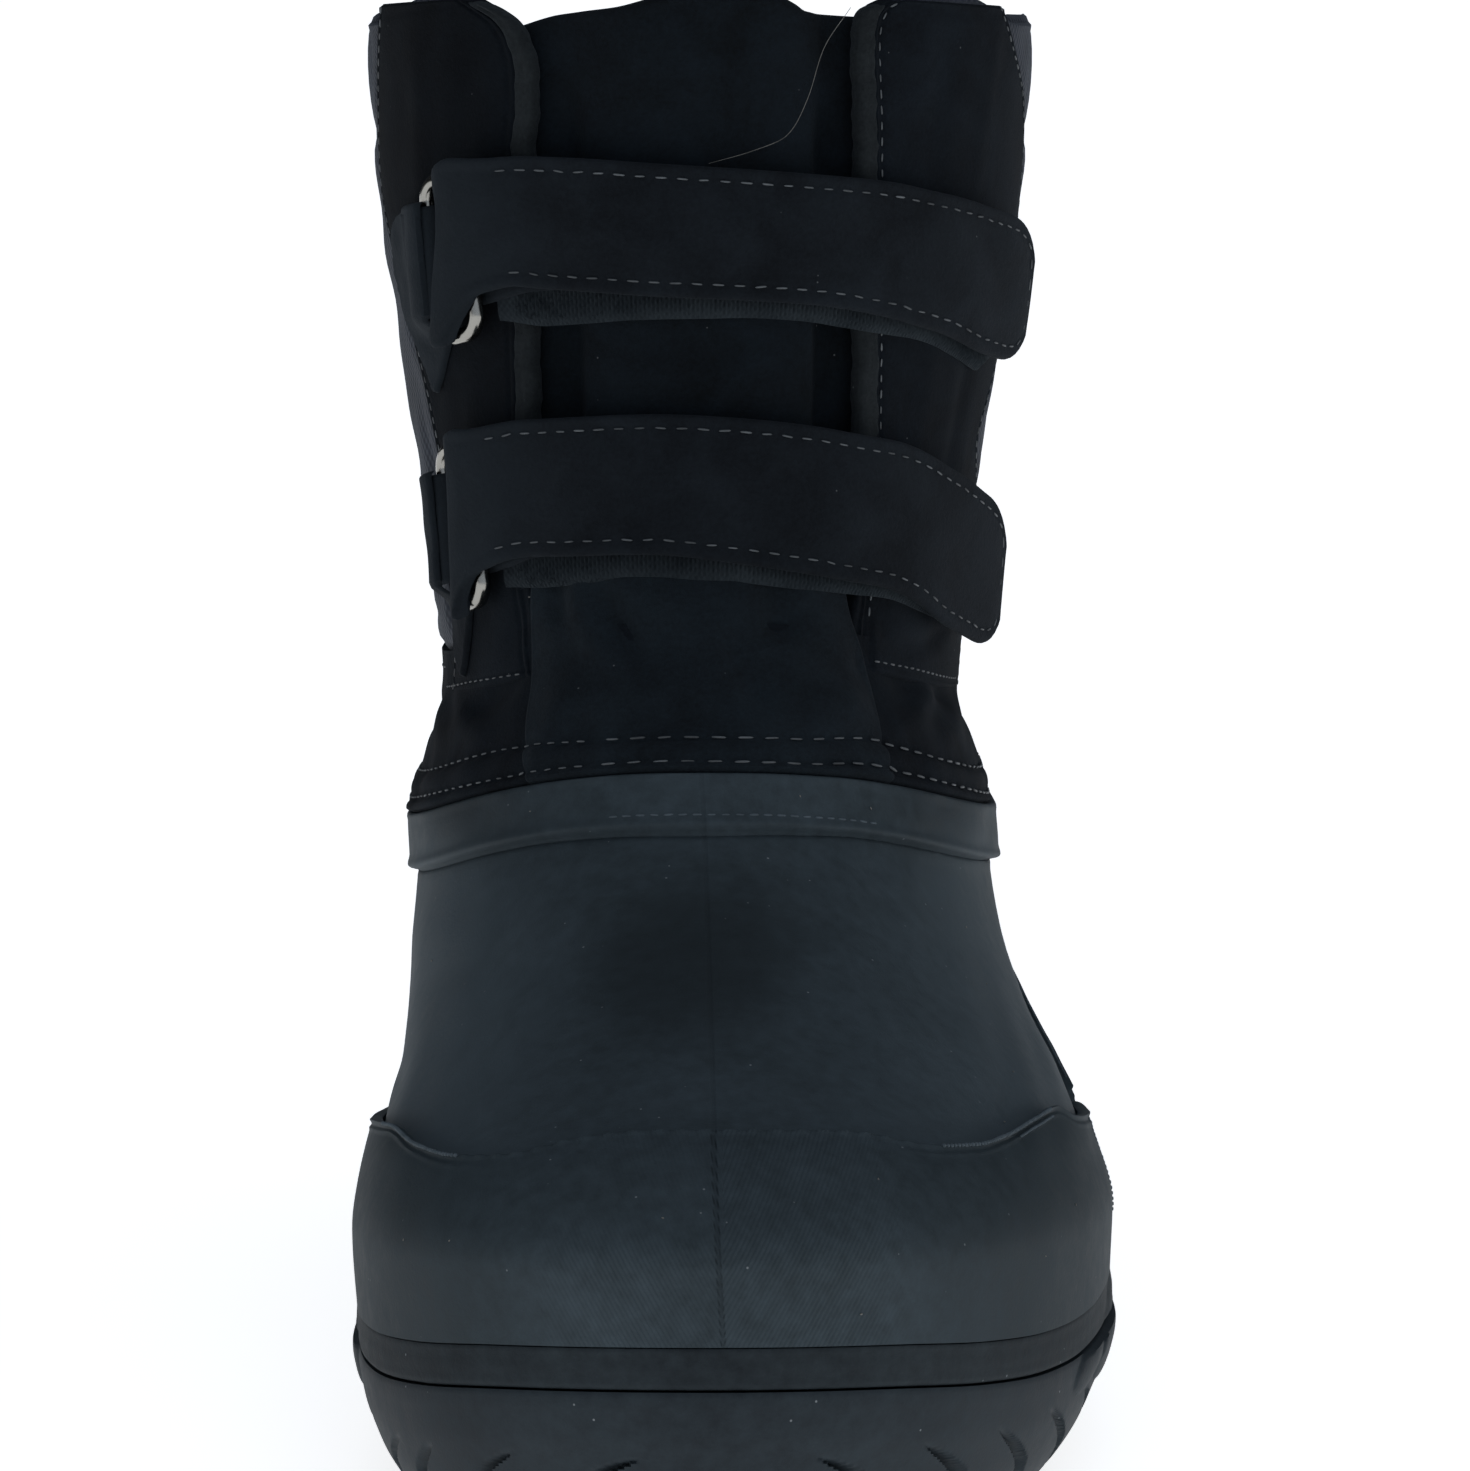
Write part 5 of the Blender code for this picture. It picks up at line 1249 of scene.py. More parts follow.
# %% Padded collar
collar_turns = np.radians(np.linspace(63.5, 360 - 72.0, 260))[:, None]
phase = (np.arange(24) * 2 * np.pi / 24)[None, :]
full = rounded(from_ends(260)[:, None] / 9.0, 1.0) * 0.9 + 0.1
wrapped = front_zero(collar_turns)
stretch = leg_arc(wrapped) * 1.3
gathers = 0.07 * ease(np.abs(np.degrees(wrapped)), 84, 110)
bunch = 1 + gathers * soft_waves(31, stretch, 12.0 * np.sin(phase), 20.0)
tall = 0.265 * full
roll_levels = 8.0 + (2.765 + tall * np.cos(phase) * bunch) * (1 - collar_drop(wrapped))
beneath = 1 - ease(np.abs(np.degrees(wrapped)), 74, 85)      # here a quarter lies over it
roll_out = -1.75 + (2.35 * full) * np.sin(phase) * bunch - 0.9 * beneath
collar = tube_piece("collar_roll", boot_surface(roll_levels, wrapped, roll_out), nylon)

# %% [markdown]
# ## The tongue
# The tongue is one padded slab that stands forward in the throat and is pleated back on
# each side, so that the boot opens wide. In the real one foam sits between two cloths, so
# its edges are rounded, its face is slightly crowned and its top is wavy.

# %% Tongue
TONGUE_THICK = 3.6       # mm
tongue_out = smooth_table(
    (-33, -30, -27, -23.5, -21.5, -19.5, -15, -8, 0, 8, 15, 19.5, 21, 23, 27, 30, 32),
    (-3.6, -4.0, -5.0, -6.4, -5.0, -2.6, -1.5, -1.0, -.9, -1.0, -1.4, -2.4, -4.8, -6.4,
     -5.0, -4.0, -3.6))
tongue_top = smooth_table((-33, -26, -21, -15, -8, -2, 5, 12, 17, 19, 25, 32),
                          (-4.2, -2.6, -2.2, -1.8, -.3, 1.5, 2.4, .8, -1.2, -2.2, -2.6, -2.8))
tongue_high = smooth_table(
    (-33, -30, -27, -23.5, -20, -15, -8, 0, 8, 15, 19.5, 23, 27, 32),
    (-3.6, -3.9, -4.2, -4.0, -3.0, -1.8, -1.1, -.9, -1.0, -1.5, -3.0, -5.4, -5.0, -3.6))
reach = np.concatenate([-33 + 33 * spread(76, 0.4), 32 * spread(76, 0.4)[1:]])[None, :]
near_tip = 0.96 + 0.04 * np.sin(np.linspace(0.06, 1, 10) * np.pi / 2)
tongue_share = np.concatenate([np.linspace(0, 0.96, 70), near_tip])
tongue_levels = 7.55 + (10.97 + tongue_top(reach) / 40.0 - 7.55) * tongue_share[:, None]
tongue_turns = np.where(reach < 0, turn_for_reach(tongue_levels, reach, False),
                        turn_for_reach(tongue_levels, reach, True))
ground = boot_surface(tongue_levels, tongue_turns, -2.0)
rise = running(ground, 0)
left = running(ground, 1)
border = border_of((left, left[:, -1:] - left, rise, rise[-1:] - rise))
free = ease(tongue_levels, 7.9, 8.5)
upper = ease(tongue_levels, 10.15, 10.75)
pleated = tongue_out(reach) * (1 - upper) + tongue_high(reach) * upper
face = np.minimum(pleated, -3.5) * (1 - free) + pleated * free
face = np.where(free < 1, np.minimum(face, -3.5), face)
TONGUE_CREASES = (
    (-6, 214, 8, 16, 5, .0, .5), (8, 206, -10, 18, 5, .0, -.5), (-14, 204, 70, 12, 4, .0, -.4),
    (0, 172, 4, 18, 4, .1, -.5), (10, 162, -6, 14, 4, .1, .4), (-8, 168, -70, 10, 4, .0, .35),
)
tongue_soft = creases(leg_arc(tongue_turns), ground[..., 2], TONGUE_CREASES)
tongue_soft = tongue_soft + 0.22 * soft_waves(9, left, rise, 19.0)
half_thick = TONGUE_THICK / 2 * np.maximum(rounded(border, 1.7), 0.15)
middle = face - TONGUE_THICK / 2
near_top = -0.25 * ridge(rise[-1:] - rise - 3.0, 0.8)
front = middle + half_thick + (tongue_soft + near_top) * ease(border, .5, 4)
tongue = wall_piece("padded_tongue", boot_surface(tongue_levels, tongue_turns, front),
                    boot_surface(tongue_levels, tongue_turns, middle - half_thick),
                    (tongue_suede, lining), "leg_suede", "tongue")

# %% Insole
INSOLE_RINGS = (     # mm out from the shell's outline, and height above the sole
    (-3.6, 0.0), (-3.4, 0.6), (-3.4, 3.0), (-3.8, 3.7), (-4.8, 4.0), (-14.0, 4.0), (-26.0, 3.9))


def insole_ring(out, up):
    """One loop of the inner sole. Its top is dished at the heel by a bell curve."""
    x, y = plan(sole_turns[0][::2], out)
    dish = 1.2 * ridge((x + 3.5) / 22.0, 1.0) * ease(y, 40, 90)
    return np.stack([x, y, sole_top(y) + GAP + up - (dish if up > 3 else 0)], -1)


insole = tube_piece("insole_sock", np.stack([insole_ring(*ring) for ring in INSOLE_RINGS]), lining,
                    "insole")

# %% [markdown]
# ## Straps, tabs and loops
# Each strap is sewn to the outer side of the leg, crosses the front as ribbed webbing,
# passes up through a nickel loop, and folds back over itself as a wide suede strip that
# grips with hook tape. A belt line round the leg gives the strap three directions: along
# it, across it and out from the leg. The strap's own section is then carried along one
# path that goes in, round the wire and back. A worn strap doesn't lie straight: it rides up
# at the loop, sags towards its end, and its lower edge flares out over the wire, so
# its two edges are tables of how far each lies from the belt line.

# %% Belt lines round the leg
# All in mm. LOOP_OUT: the wire's middle off the form. CLEAR: the cloth that lies beneath.
WIRE, LOOP_HALF_HEIGHT, LOOP_HALF_WIDTH, LOOP_CORNER, LOOP_OUT = 2.8, 13.0, 4.3, 3.2, 4.1
STRAP_THICK, TAB_THICK, CLEAR = 1.9, 1.1, 0.72


class LegBelt:
    """A line round the leg along which a strap runs; its height changes with the turn."""

    def __init__(self, heights, loop_degrees):
        self.loop_turn = math.radians(loop_degrees)
        table = np.array(heights, float)
        self.turns = np.radians(np.linspace(-130, 130, 1041))
        self.z = smooth_table(table[:, 0], table[:, 1])(np.degrees(self.turns))
        self.line = boot_surface(level_at_height(self.turns, self.z), self.turns, 0.0)
        self.length = running(self.line[None], 1)[0]
        self.length = self.length - np.interp(0.0, self.turns, self.length)

    def point(self, along, across, out):
        """A point by its distance along the belt, across it and out from the leg."""
        place = (np.asarray(a, float) for a in (along, across, out))
        along, across, out = np.broadcast_arrays(*place)
        turn = np.interp(along, self.length, self.turns)
        z = np.interp(turn, self.turns, self.z) + across
        return boot_surface(level_at_height(turn, z), turn, out)

    def frame(self):
        """The loop's middle, its direction along the strap and its direction across it."""
        along = float(np.interp(self.loop_turn, self.turns, self.length))
        middle = self.point(along, 0.0, LOOP_OUT)
        forward = unit(self.point(along + 3.0, 0.0, 0.0) - self.point(along - 3.0, 0.0, 0.0))
        upward = self.point(along, 6.0, 0.0) - self.point(along, -6.0, 0.0)
        return middle, forward, unit(upward - forward * (upward @ forward))

    def bar(self, side):
        """The middle of one long side of the loop, with its place along and out."""
        middle, forward, _ = self.frame()
        place = middle + side * forward * LOOP_HALF_WIDTH
        gaps = np.linalg.norm(self.line - place, axis=1)
        near = int(gaps.argmin())
        return place, float(self.length[near]), float(gaps[near])

    def beside_bar(self, side, points, along, across, out):
        """Draws what is folded round the bar straight there, and lets go of it by 14 mm."""
        place, bar_along, bar_out = self.bar(side)
        _, forward, upward = self.frame()
        flat = (place + (along - bar_along)[..., None] * forward + across[..., None] * upward
                + (out - bar_out)[..., None] * np.cross(forward, upward))
        share = ease(np.abs(along - bar_along), 4.0, 14.0)[..., None]
        return flat * (1 - share) + points * share


upper_belt = LegBelt((
    (-130, 182), (-60, 183), (-45, 184.5), (-28, 188.6), (0, 190), (39, 187.6), (67, 179.5),
    (84, 176.5), (130, 171)), -42.0)
lower_belt = LegBelt((
    (-130, 136.5), (-62, 138), (-49, 140), (-30, 145.2), (0, 147.5), (33, 144.4), (52, 138),
    (78, 128.6), (90, 125.2), (130, 119)), -46.5)
print("belt lengths:",
      [round(float(b.length[-1] - b.length[0])) for b in (upper_belt, lower_belt)], "mm")

# %% A strip folded round a bar
WIRE_ROOM = 0.45         # mm between the wire and what is folded round it


def folded_path(bar_along, bar_out, side, thick, near, far, lift, step=1.4, loose=0.0, tight=None):
    """A strip's middle line: in along the leg, half an oval round the wire, and out again on
    top of itself, settling by a bell curve and lifting by `lift` mm at its end. tight is the
    outer half's radius. Gives the place along, the place out, and the stage: 0 on the way in,
    0.5 round the wire and 1 on the way back."""
    under = CLEAR + thick / 2
    radius = max(WIRE / 2 + WIRE_ROOM + thick / 2, bar_out - under)
    crown = tight or radius
    over = under + thick + GAP
    first = np.linspace(near, 0, max(6, int(abs(near) / step)))[:-1]
    angle = np.radians(np.linspace(-90, 90, 21))
    last = np.linspace(0, far, max(6, int(abs(far) / step)))[1:]
    settle = np.exp(-(last / 9.0) ** 2)
    rise = lift * np.clip((last / far - 0.72) / 0.28, 0, 1) ** 2
    along = bar_along + side * np.concatenate([first, -(crown + loose) * np.cos(angle), last])
    out = np.concatenate([np.full(len(first), under),
                          bar_out + np.where(angle < 0, radius, crown) * np.sin(angle),
                          over + (bar_out + crown - over) * settle + rise])
    return along, out, np.repeat([0.0, 0.5, 1.0], [len(first), len(angle), len(last)])


def strip_square(along, out):
    """Unit direction square to a path in the (along, out) plane."""
    way = unit(np.stack([np.gradient(along), np.gradient(out)], -1))
    return -way[:, 1], way[:, 0]


TIP_LENGTH, TIP_NARROWS, TIP_POWER, TIP_DROP = 11.0, 0.76, 2.6, 0.9
SEAM_INSET, TIP_BEND = 2.3, 3.0          # mm: stitches from the edge, and how they turn
BAG_BEHIND, BAG_LENGTH = 2.0, 8.0


class Strap:
    """A folded strap: its path, its two edges along that path and its face for stitches."""

    def __init__(self, belt, under_mm, far, lift, top, bottom, slack, loose):
        """far: the tip's distance from the loop. top, bottom: how far each edge lies from the
        belt line, by distance from the loop. slack: how far the fold's lower end bags out
        behind the loop. All in mm."""
        self.slack = slack
        self.belt, self.far = belt, far
        _, self.bar_along, self.bar_out = belt.bar(1)
        self.along, self.out, self.stage = folded_path(
            self.bar_along, self.bar_out, 1, STRAP_THICK, under_mm, far, lift, loose=loose)
        self.square = strip_square(self.along, self.out)
        past = self.along - self.bar_along
        returning = self.stage == 1.0
        bending = ease(self.out - self.bar_out, 1.0, 2.6) * (self.stage == 0.5)
        over = np.where(returning, 1.0, bending)
        high = 9.6 + (top(past) - 9.6) * over
        low = 8.6 + (bottom(past) - 8.6) * over
        ends = np.clip((past - (far - TIP_LENGTH)) / TIP_LENGTH, 0, 1) * returning
        self.half = (high + low) / 2 * np.sqrt(1 - TIP_NARROWS * ends ** TIP_POWER)
        self.middle = (high - low) / 2 - TIP_DROP * ends ** 2
        steps = np.hypot(np.diff(self.along), np.diff(self.out))
        self.length = np.concatenate([[0], np.cumsum(steps)])

    def surface(self, length, share, height):
        """A point on the strap: distance along its path, share across (-1 to 1), and height off
        its middle line."""
        read = lambda values: np.interp(length, self.length, values)
        along = read(self.along) + read(self.square[0]) * height
        out = read(self.out) + read(self.square[1]) * height
        across = read(self.middle) + read(self.half) * share
        along, across, out = np.broadcast_arrays(along, across, out)
        bag = ridge(along - self.bar_along + BAG_BEHIND, BAG_LENGTH)
        bag = bag * ease(out - self.bar_out, 0.3, 3.0) * np.clip((9.0 - across) / 21.0, 0, 1)
        along = along - self.slack * bag
        return self.belt.beside_bar(1, self.belt.point(along, across, out), along, across, out)

    def build(self, name, node, seed):
        """The strap as rings round its section: its face from top to bottom, then its back.
        Edges are quarter circles, the face is crowned, and a channel carries the stitches."""
        total = self.length[-1]
        last_rows = total - 1.2 * (1 - np.sin(np.linspace(0.1, 1, 7) * np.pi / 2))
        length = np.unique(np.round(np.concatenate([self.length[:-1], last_rows]), 4))
        share = 1 - 2 * spread(38, 0.25)
        row = length[:, None]
        half = np.interp(row, self.length, self.half)
        edge = half * (1 - np.abs(share[None, :]))
        tip = np.minimum(row - length[0], total - row)
        body = np.minimum(rounded(edge, 0.85), rounded(tip, 1.0))
        outer_layer = ease(np.interp(row, self.length, self.stage), 0.6, 1.0)
        channel = ridge(edge - SEAM_INSET, 0.55)
        channel = channel + ridge(total - row - 2.4, 0.6) * ease(edge, 1.5, 2.5)
        wavy = 0.20 * soft_waves(seed, row, half * share[None, :], 16.0) * ease(edge, 0.5, 4)
        crown = 0.25 * ease(edge, 2.6, 8.0)
        relief = (crown - 0.20 * channel) * outer_layer + wavy
        half_thick = STRAP_THICK / 2 * np.maximum(body, 0.15)
        face = half_thick + relief * ease(tip, 0.3, 3)
        rings = np.concatenate([self.surface(row, share[None, :], face),
                                self.surface(row, share[None, ::-1], -half_thick[:, ::-1])], axis=1)
        return tube_piece(name, rings, strap_suede, node)

    def stitch_line(self, past):
        """Where its stitches run, from `past` mm behind the loop: along the top, down inside
        the tip with rounded corners, and back below."""
        total = self.length[-1]
        end = total - SEAM_INSET - TIP_BEND
        straight = np.linspace(total - self.far + past, end, 240)
        half = np.interp(straight, self.length, self.half)
        upper = (half - SEAM_INSET) / half
        bend = np.linspace(0, np.pi, 60)[1:-1]
        tip = end + TIP_BEND * flattened(np.sin(bend), 0.5)
        length = np.concatenate([straight, tip, straight[::-1]])
        share = np.concatenate([upper, upper[-1] * flattened(np.cos(bend), 0.5), -upper[::-1]])
        lift = STRAP_THICK / 2 - 0.02
        return self.surface(length, share, lift), self.surface(length, share, lift + 0.5)


# %% The folded suede straps
upper_top = smooth_table(
    (-6, -2, 1, 3, 6, 9, 13, 22, 34, 46, 58, 70, 82, 94, 104, 120),
    (13.0, 15.0, 15.7, 15.5, 14.7, 13.9, 13.4, 12.5, 11.2, 10.4, 9.9, 9.5, 8.5, 9.2, 10.2, 10.4))
upper_bottom = smooth_table(
    (-6, -3, -1, 2, 5, 9, 13, 22, 34, 46, 58, 70, 82, 94, 104, 120),
    (13.0, 14.6, 14.4, 10.8, 7.4, 7.4, 8.1, 9.2, 10.4, 10.9, 11.3, 12.4, 14.0, 14.4, 13.6, 12.2))
lower_top = smooth_table(
    (-6, -2, 1, 5, 13, 22, 34, 46, 58, 70, 82, 94, 104, 120),
    (14.6, 15.0, 15.4, 14.8, 13.9, 13.5, 13.2, 12.6, 12.1, 11.5, 11.7, 11.4, 10.8, 10.3))
lower_bottom = smooth_table(
    (-6, -4, -2, 1, 4, 9, 13, 22, 34, 46, 58, 70, 82, 94, 104, 120),
    (19.6, 19.8, 16.8, 11.8, 9.0, 8.4, 8.7, 9.3, 9.8, 11.2, 12.2, 12.8, 13.0, 14.4, 14.4, 12.5))
upper_strap = Strap(upper_belt, 18.0, 114.6, 1.6, upper_top, upper_bottom, slack=6.0, loose=1.2)
lower_strap = Strap(lower_belt, 18.0, 115.2, 3.2, lower_top, lower_bottom, slack=4.0, loose=0.2)
upper_strap.build("strap_upper_suede", "strap_upper", 41)
lower_strap.build("strap_lower_suede", "strap_lower", 42)

# %% Ribbed webbing under each strap
RIB_PITCH, WEBBING_START, COLUMN_STEP = 0.72, 3.0, 0.16      # mm


def webbing_strip(name, belt, low, end):
    """The part that crosses the front: its ribs are a sine wave along it between two piped
    edges. low gives its lower edge below the belt line, by distance from the loop. Its upper
    edge comes down towards its end."""
    _, bar_along, _ = belt.bar(1)
    along = np.linspace(WEBBING_START, end, int(end / COLUMN_STEP))[None, :]
    below, high = low(along), 8.0 - 11.0 * ease(along, end - 8.0, end)
    across = -below + (below + high) * spread(11, 0.5)[:, None]
    border = np.minimum(across + below, high - across)
    ends = np.minimum(along - WEBBING_START, end - along)
    ribs = np.sin(along * 2 * np.pi / RIB_PITCH) * ease(border, 0.6, 1.0) * ease(ends, 1, 8)
    body = np.maximum(np.minimum(rounded(border, 0.5), rounded(ends, 0.8)), 0.15)
    out = 0.85 + 0.95 * body + 0.20 * ribs + 0.18 * ridge(border - 0.35, 0.3)
    place = bar_along + along
    return wall_piece(name, belt.point(place, across, out), belt.point(place, across, 0.62),
                      webbing, "strap_suede")


webbing_strip("webbing_upper", upper_belt, smooth_table(
    (2, 13, 20, 28, 40, 48, 58, 64, 72, 82, 94, 104, 109, 114),
    (11.8, 14.3, 14.2, 13.9, 13.8, 13.6, 13.9, 14.5, 15.2, 15.7, 16.0, 16.0, 13.6, 10.4)), 110.5)
webbing_strip("webbing_lower", lower_belt, smooth_table(
    (2, 13, 22, 28, 34, 40, 46, 58, 70, 82, 106),
    (11.6, 13.5, 13.3, 12.7, 12.9, 13.5, 13.7, 14.2, 14.2, 13.0, 12.0)), 104.0)

# %% Tabs that hold the loops
TAB_HALF, TAB_STEP = 9.2, 0.5            # mm


def tab(name, belt, node, reach):
    """The neck of the tab: a narrow strip folded round the loop's rear bar."""
    _, bar_along, bar_out = belt.bar(-1)
    share = -1 + 2 * spread(24, 0.4)[:, None]
    along, out, _ = folded_path(bar_along, bar_out, -1, TAB_THICK, reach, reach, 0.0,
                                step=TAB_STEP, tight=2.4)
    square = strip_square(along, out)
    edge, tip = (1 - np.abs(share)) * TAB_HALF, from_ends(len(along)) * TAB_STEP
    height = TAB_THICK / 2 * np.maximum(np.minimum(rounded(edge, 0.6), rounded(tip, 0.6)), 0.2)
    grids = []
    for side in (height, -height):
        a, o, c = np.broadcast_arrays(along + square[0] * side, out + square[1] * side,
                                      TAB_HALF * share)
        grids.append(belt.beside_bar(-1, belt.point(a, c, o), a, c, o))
    return wall_piece(name, *grids, strap_suede, "strap_suede", node)


def tab_patch(name, belt, rear, front, low, high, seed):
    """The tab's outer leaf, sewn flat behind the loop: its rear and front edges are tables of
    reach by height, and its lower end hangs to a ragged point."""
    _, bar_along, bar_out = belt.bar(-1)
    across = (-low + (low + high) * spread(60, 0.4))[:, None]
    share = spread(26, 0.4)[None, :]
    reach = rear(across) + 0.18 * np.sin(across * 5.1) + 0.12 * np.sin(across * 11.7)
    start = front(across)
    behind = start + (reach - start) * share
    border = border_of((behind - start, reach - behind, across + low, high - across))
    past = np.clip(behind, 0, None)
    over_neck = 2.5 * ridge(past, 11.0) + (bar_out - 0.3) * ridge(past, 9.0)
    base = CLEAR + 0.1 + over_neck * (1 - ease(np.abs(across), 8.8, 13.5))
    base = base + 0.16 * soft_waves(seed, behind, across, 7.0)
    thick = 0.95 * np.maximum(rounded(border, 0.7), 0.15)
    place = bar_along - behind
    return wall_piece(name, belt.point(place, across, base + thick),
                      belt.point(place, across, base), strap_suede, "strap_suede")


tab("tab_upper", upper_belt, "chape_upper", 7.0)
tab("tab_lower", lower_belt, "chape_lower", 4.0)
tab_patch("tab_leaf_upper", upper_belt, smooth_table(
    (-22, -20, -15, -10, -5, 0, 4, 7, 9, 11),
    (11.0, 12.0, 15.5, 19.5, 22.5, 24.0, 23.5, 20.0, 13.0, 8.0)), smooth_table(
    (-22, -20, -15, -12, -9.4, -8.6, 11), (10.4, 8.6, 4.2, 1.8, 0.2, -0.9, -0.9)), 21.6, 9.8, 3)
tab_patch("tab_leaf_lower", lower_belt, smooth_table(
    (-25, -20, -15, -10, -5, 0, 5, 11), (6.8, 9.6, 10.5, 9.8, 8.6, 7.4, 6.0, 5.0)), smooth_table(
    (-25, -20, -15, -12, -9.4, -8.6, 11), (6.2, 3.6, 1.8, 0.8, 0.2, -0.9, -0.9)), 24.4, 9.8, 4)

# %% Nickel loops
WIRE_SIDES = 18


def wire_loop(name, belt, node):
    """Round wire bent to a rounded rectangle: a circle of 2.8 mm carried round four straight
    sides and four corners of 3.2 mm."""
    middle, forward, upward = belt.frame()
    angle = np.radians(np.arange(4)[:, None] * 90 + np.linspace(0, 90, 14)[None, :])
    signs = np.array([(1, 1), (-1, 1), (-1, -1), (1, -1)])[:, None, :]
    box = np.array([LOOP_HALF_WIDTH, LOOP_HALF_HEIGHT]) - LOOP_CORNER
    away = np.stack([np.cos(angle), np.sin(angle)], -1)
    flat = (signs * box + LOOP_CORNER * away).reshape(-1, 2)
    core, outward = (xy.reshape(-1, 2) @ np.stack([forward, upward]) for xy in (flat, away))
    section = (np.arange(WIRE_SIDES) * 2 * np.pi / WIRE_SIDES)[None, :, None]
    round_wire = np.cos(section) * outward[:, None] + np.sin(section) * np.cross(forward, upward)
    rings = middle + core[:, None] + WIRE / 2 * round_wire
    faces, _ = lattice(len(flat), WIRE_SIDES, True, True)
    return finish_piece(name, rings.reshape(-1, 3), faces[:, ::-1], nickel, node)


wire_loop("wire_loop_upper", upper_belt, "loop_upper")
wire_loop("wire_loop_lower", lower_belt, "loop_lower")

# %% [markdown]
# ## Stitches, beads and lint
# Stitches are what makes sewn work read at this distance. One stitch is a short, plump
# capsule of 26 faces, half sunk in the cloth. A whole row is made at once: the path is
# measured, divided by the stitch length, and the capsule's points are added to every
# place on it. Moulded beads along the rubber edges are made in the same way.

# %% One small shape, many places
hexagon = np.arange(6) * np.pi / 3
CAPSULE_RINGS = ((-.5, .35), (-.36, .88), (0, 1), (.36, .88), (.5, .35))     # place, radius
capsule = np.concatenate([np.stack([np.full(6, x), r * np.cos(hexagon), r * np.sin(hexagon)], -1)
                          for x, r in CAPSULE_RINGS])
capsule_ends = np.array([[5, 4, 3, 2, 1, 0], [24, 25, 26, 27, 28, 29]])
capsule_faces = [lattice(5, 6, False, True)[0], capsule_ends]


def places_along(line, above, pitch):
    """Evenly spaced places on a line of points, with the way along it and the way up."""
    length = running(line[None], 1)[0]
    at = np.arange(0.5 * pitch, length[-1] - 0.3 * pitch, pitch)
    pick = lambda values, ahead=0.0: np.stack(
        [np.interp(at + ahead, length, values[:, i]) for i in range(3)], -1)
    place = pick(line)
    return place, unit(pick(line, 0.6) - pick(line, -0.6)), unit(pick(above) - place)


def many(name, rows, material, seed=2):
    """Copies of the capsule. Each row is (places, ways, ups, length, width, height), and each
    copy is turned and sized a little at random, as a machine's stitches are by the cloth."""
    dice = np.random.default_rng(seed)
    grids = []
    for place, way, up, long, wide, tall in rows:
        side = unit(np.cross(up, way))
        yaw = dice.normal(0, 0.06, (len(place), 1))
        size = dice.uniform(0.86, 1.08, (len(place), 1, 1))
        ahead = unit(way + side * yaw)[:, None]
        across = unit(np.cross(up, ahead[:, 0]))[:, None]
        shape = capsule[None] * np.array([long, wide / 2, tall / 2])
        turned = shape[..., :1] * ahead + shape[..., 1:2] * across + shape[..., 2:] * up[:, None]
        grids.append(place[:, None] + size * turned)
    points = np.concatenate(grids)
    step = (np.arange(len(points)) * len(capsule))[:, None, None]
    faces = [(g[None] + step).reshape(-1, g.shape[1]) for g in capsule_faces]
    return finish_piece(name, points.reshape(-1, 3), faces, material, sharp=80)


def raised_line(level, turn, out):
    """A line on the boot, `out` mm off its form, and the same line 1 mm further out."""
    return boot_surface(level, turn, out), boot_surface(level, turn, out + 1.0)


def on_form(levels, degrees, out):
    """A line on the boot through evenly spaced rows of levels and turns."""
    t = np.linspace(0, 1, 400)
    level = np.interp(t, np.linspace(0, 1, len(levels)), levels)
    turn = np.interp(t, np.linspace(0, 1, len(degrees)), degrees)
    return raised_line(level, np.radians(turn), out)


def stitched(line, pitch, long, wide, tall):
    """A row for many(): capsules of one size, `pitch` mm apart on a line."""
    return *places_along(*line, pitch), long, wide, tall


# %% Rows of stitches
def hem_part(row, near, first, last):
    """A hem row between two turns, on the outermost cloth there: the front panel stands
    further out than the ankle band."""
    degrees = np.linspace(first, last, 600)
    turn = np.radians(degrees)
    level = row(turn)
    on_panel = ease(degrees, -31.5, -29.5) * (1 - ease(degrees, 34.5, 36.5))
    return raised_line(level, turn,
                       ankle_out(near) + 0.10 + 0.50 * on_panel - hem_flat(level, turn))


def beside_edge(levels, turns, shift, out):
    """A line `shift` mm in from a quarter's edge, measured round the leg."""
    rows = np.linspace(0, len(levels) - 1, 300).astype(int)
    level, turn = levels[rows, 0], turns[rows]
    radian = boot_surface(level, turn + 0.5, 0) - boot_surface(level, turn - 0.5, 0)
    return raised_line(level, turn + shift / np.linalg.norm(radian, axis=-1), out)


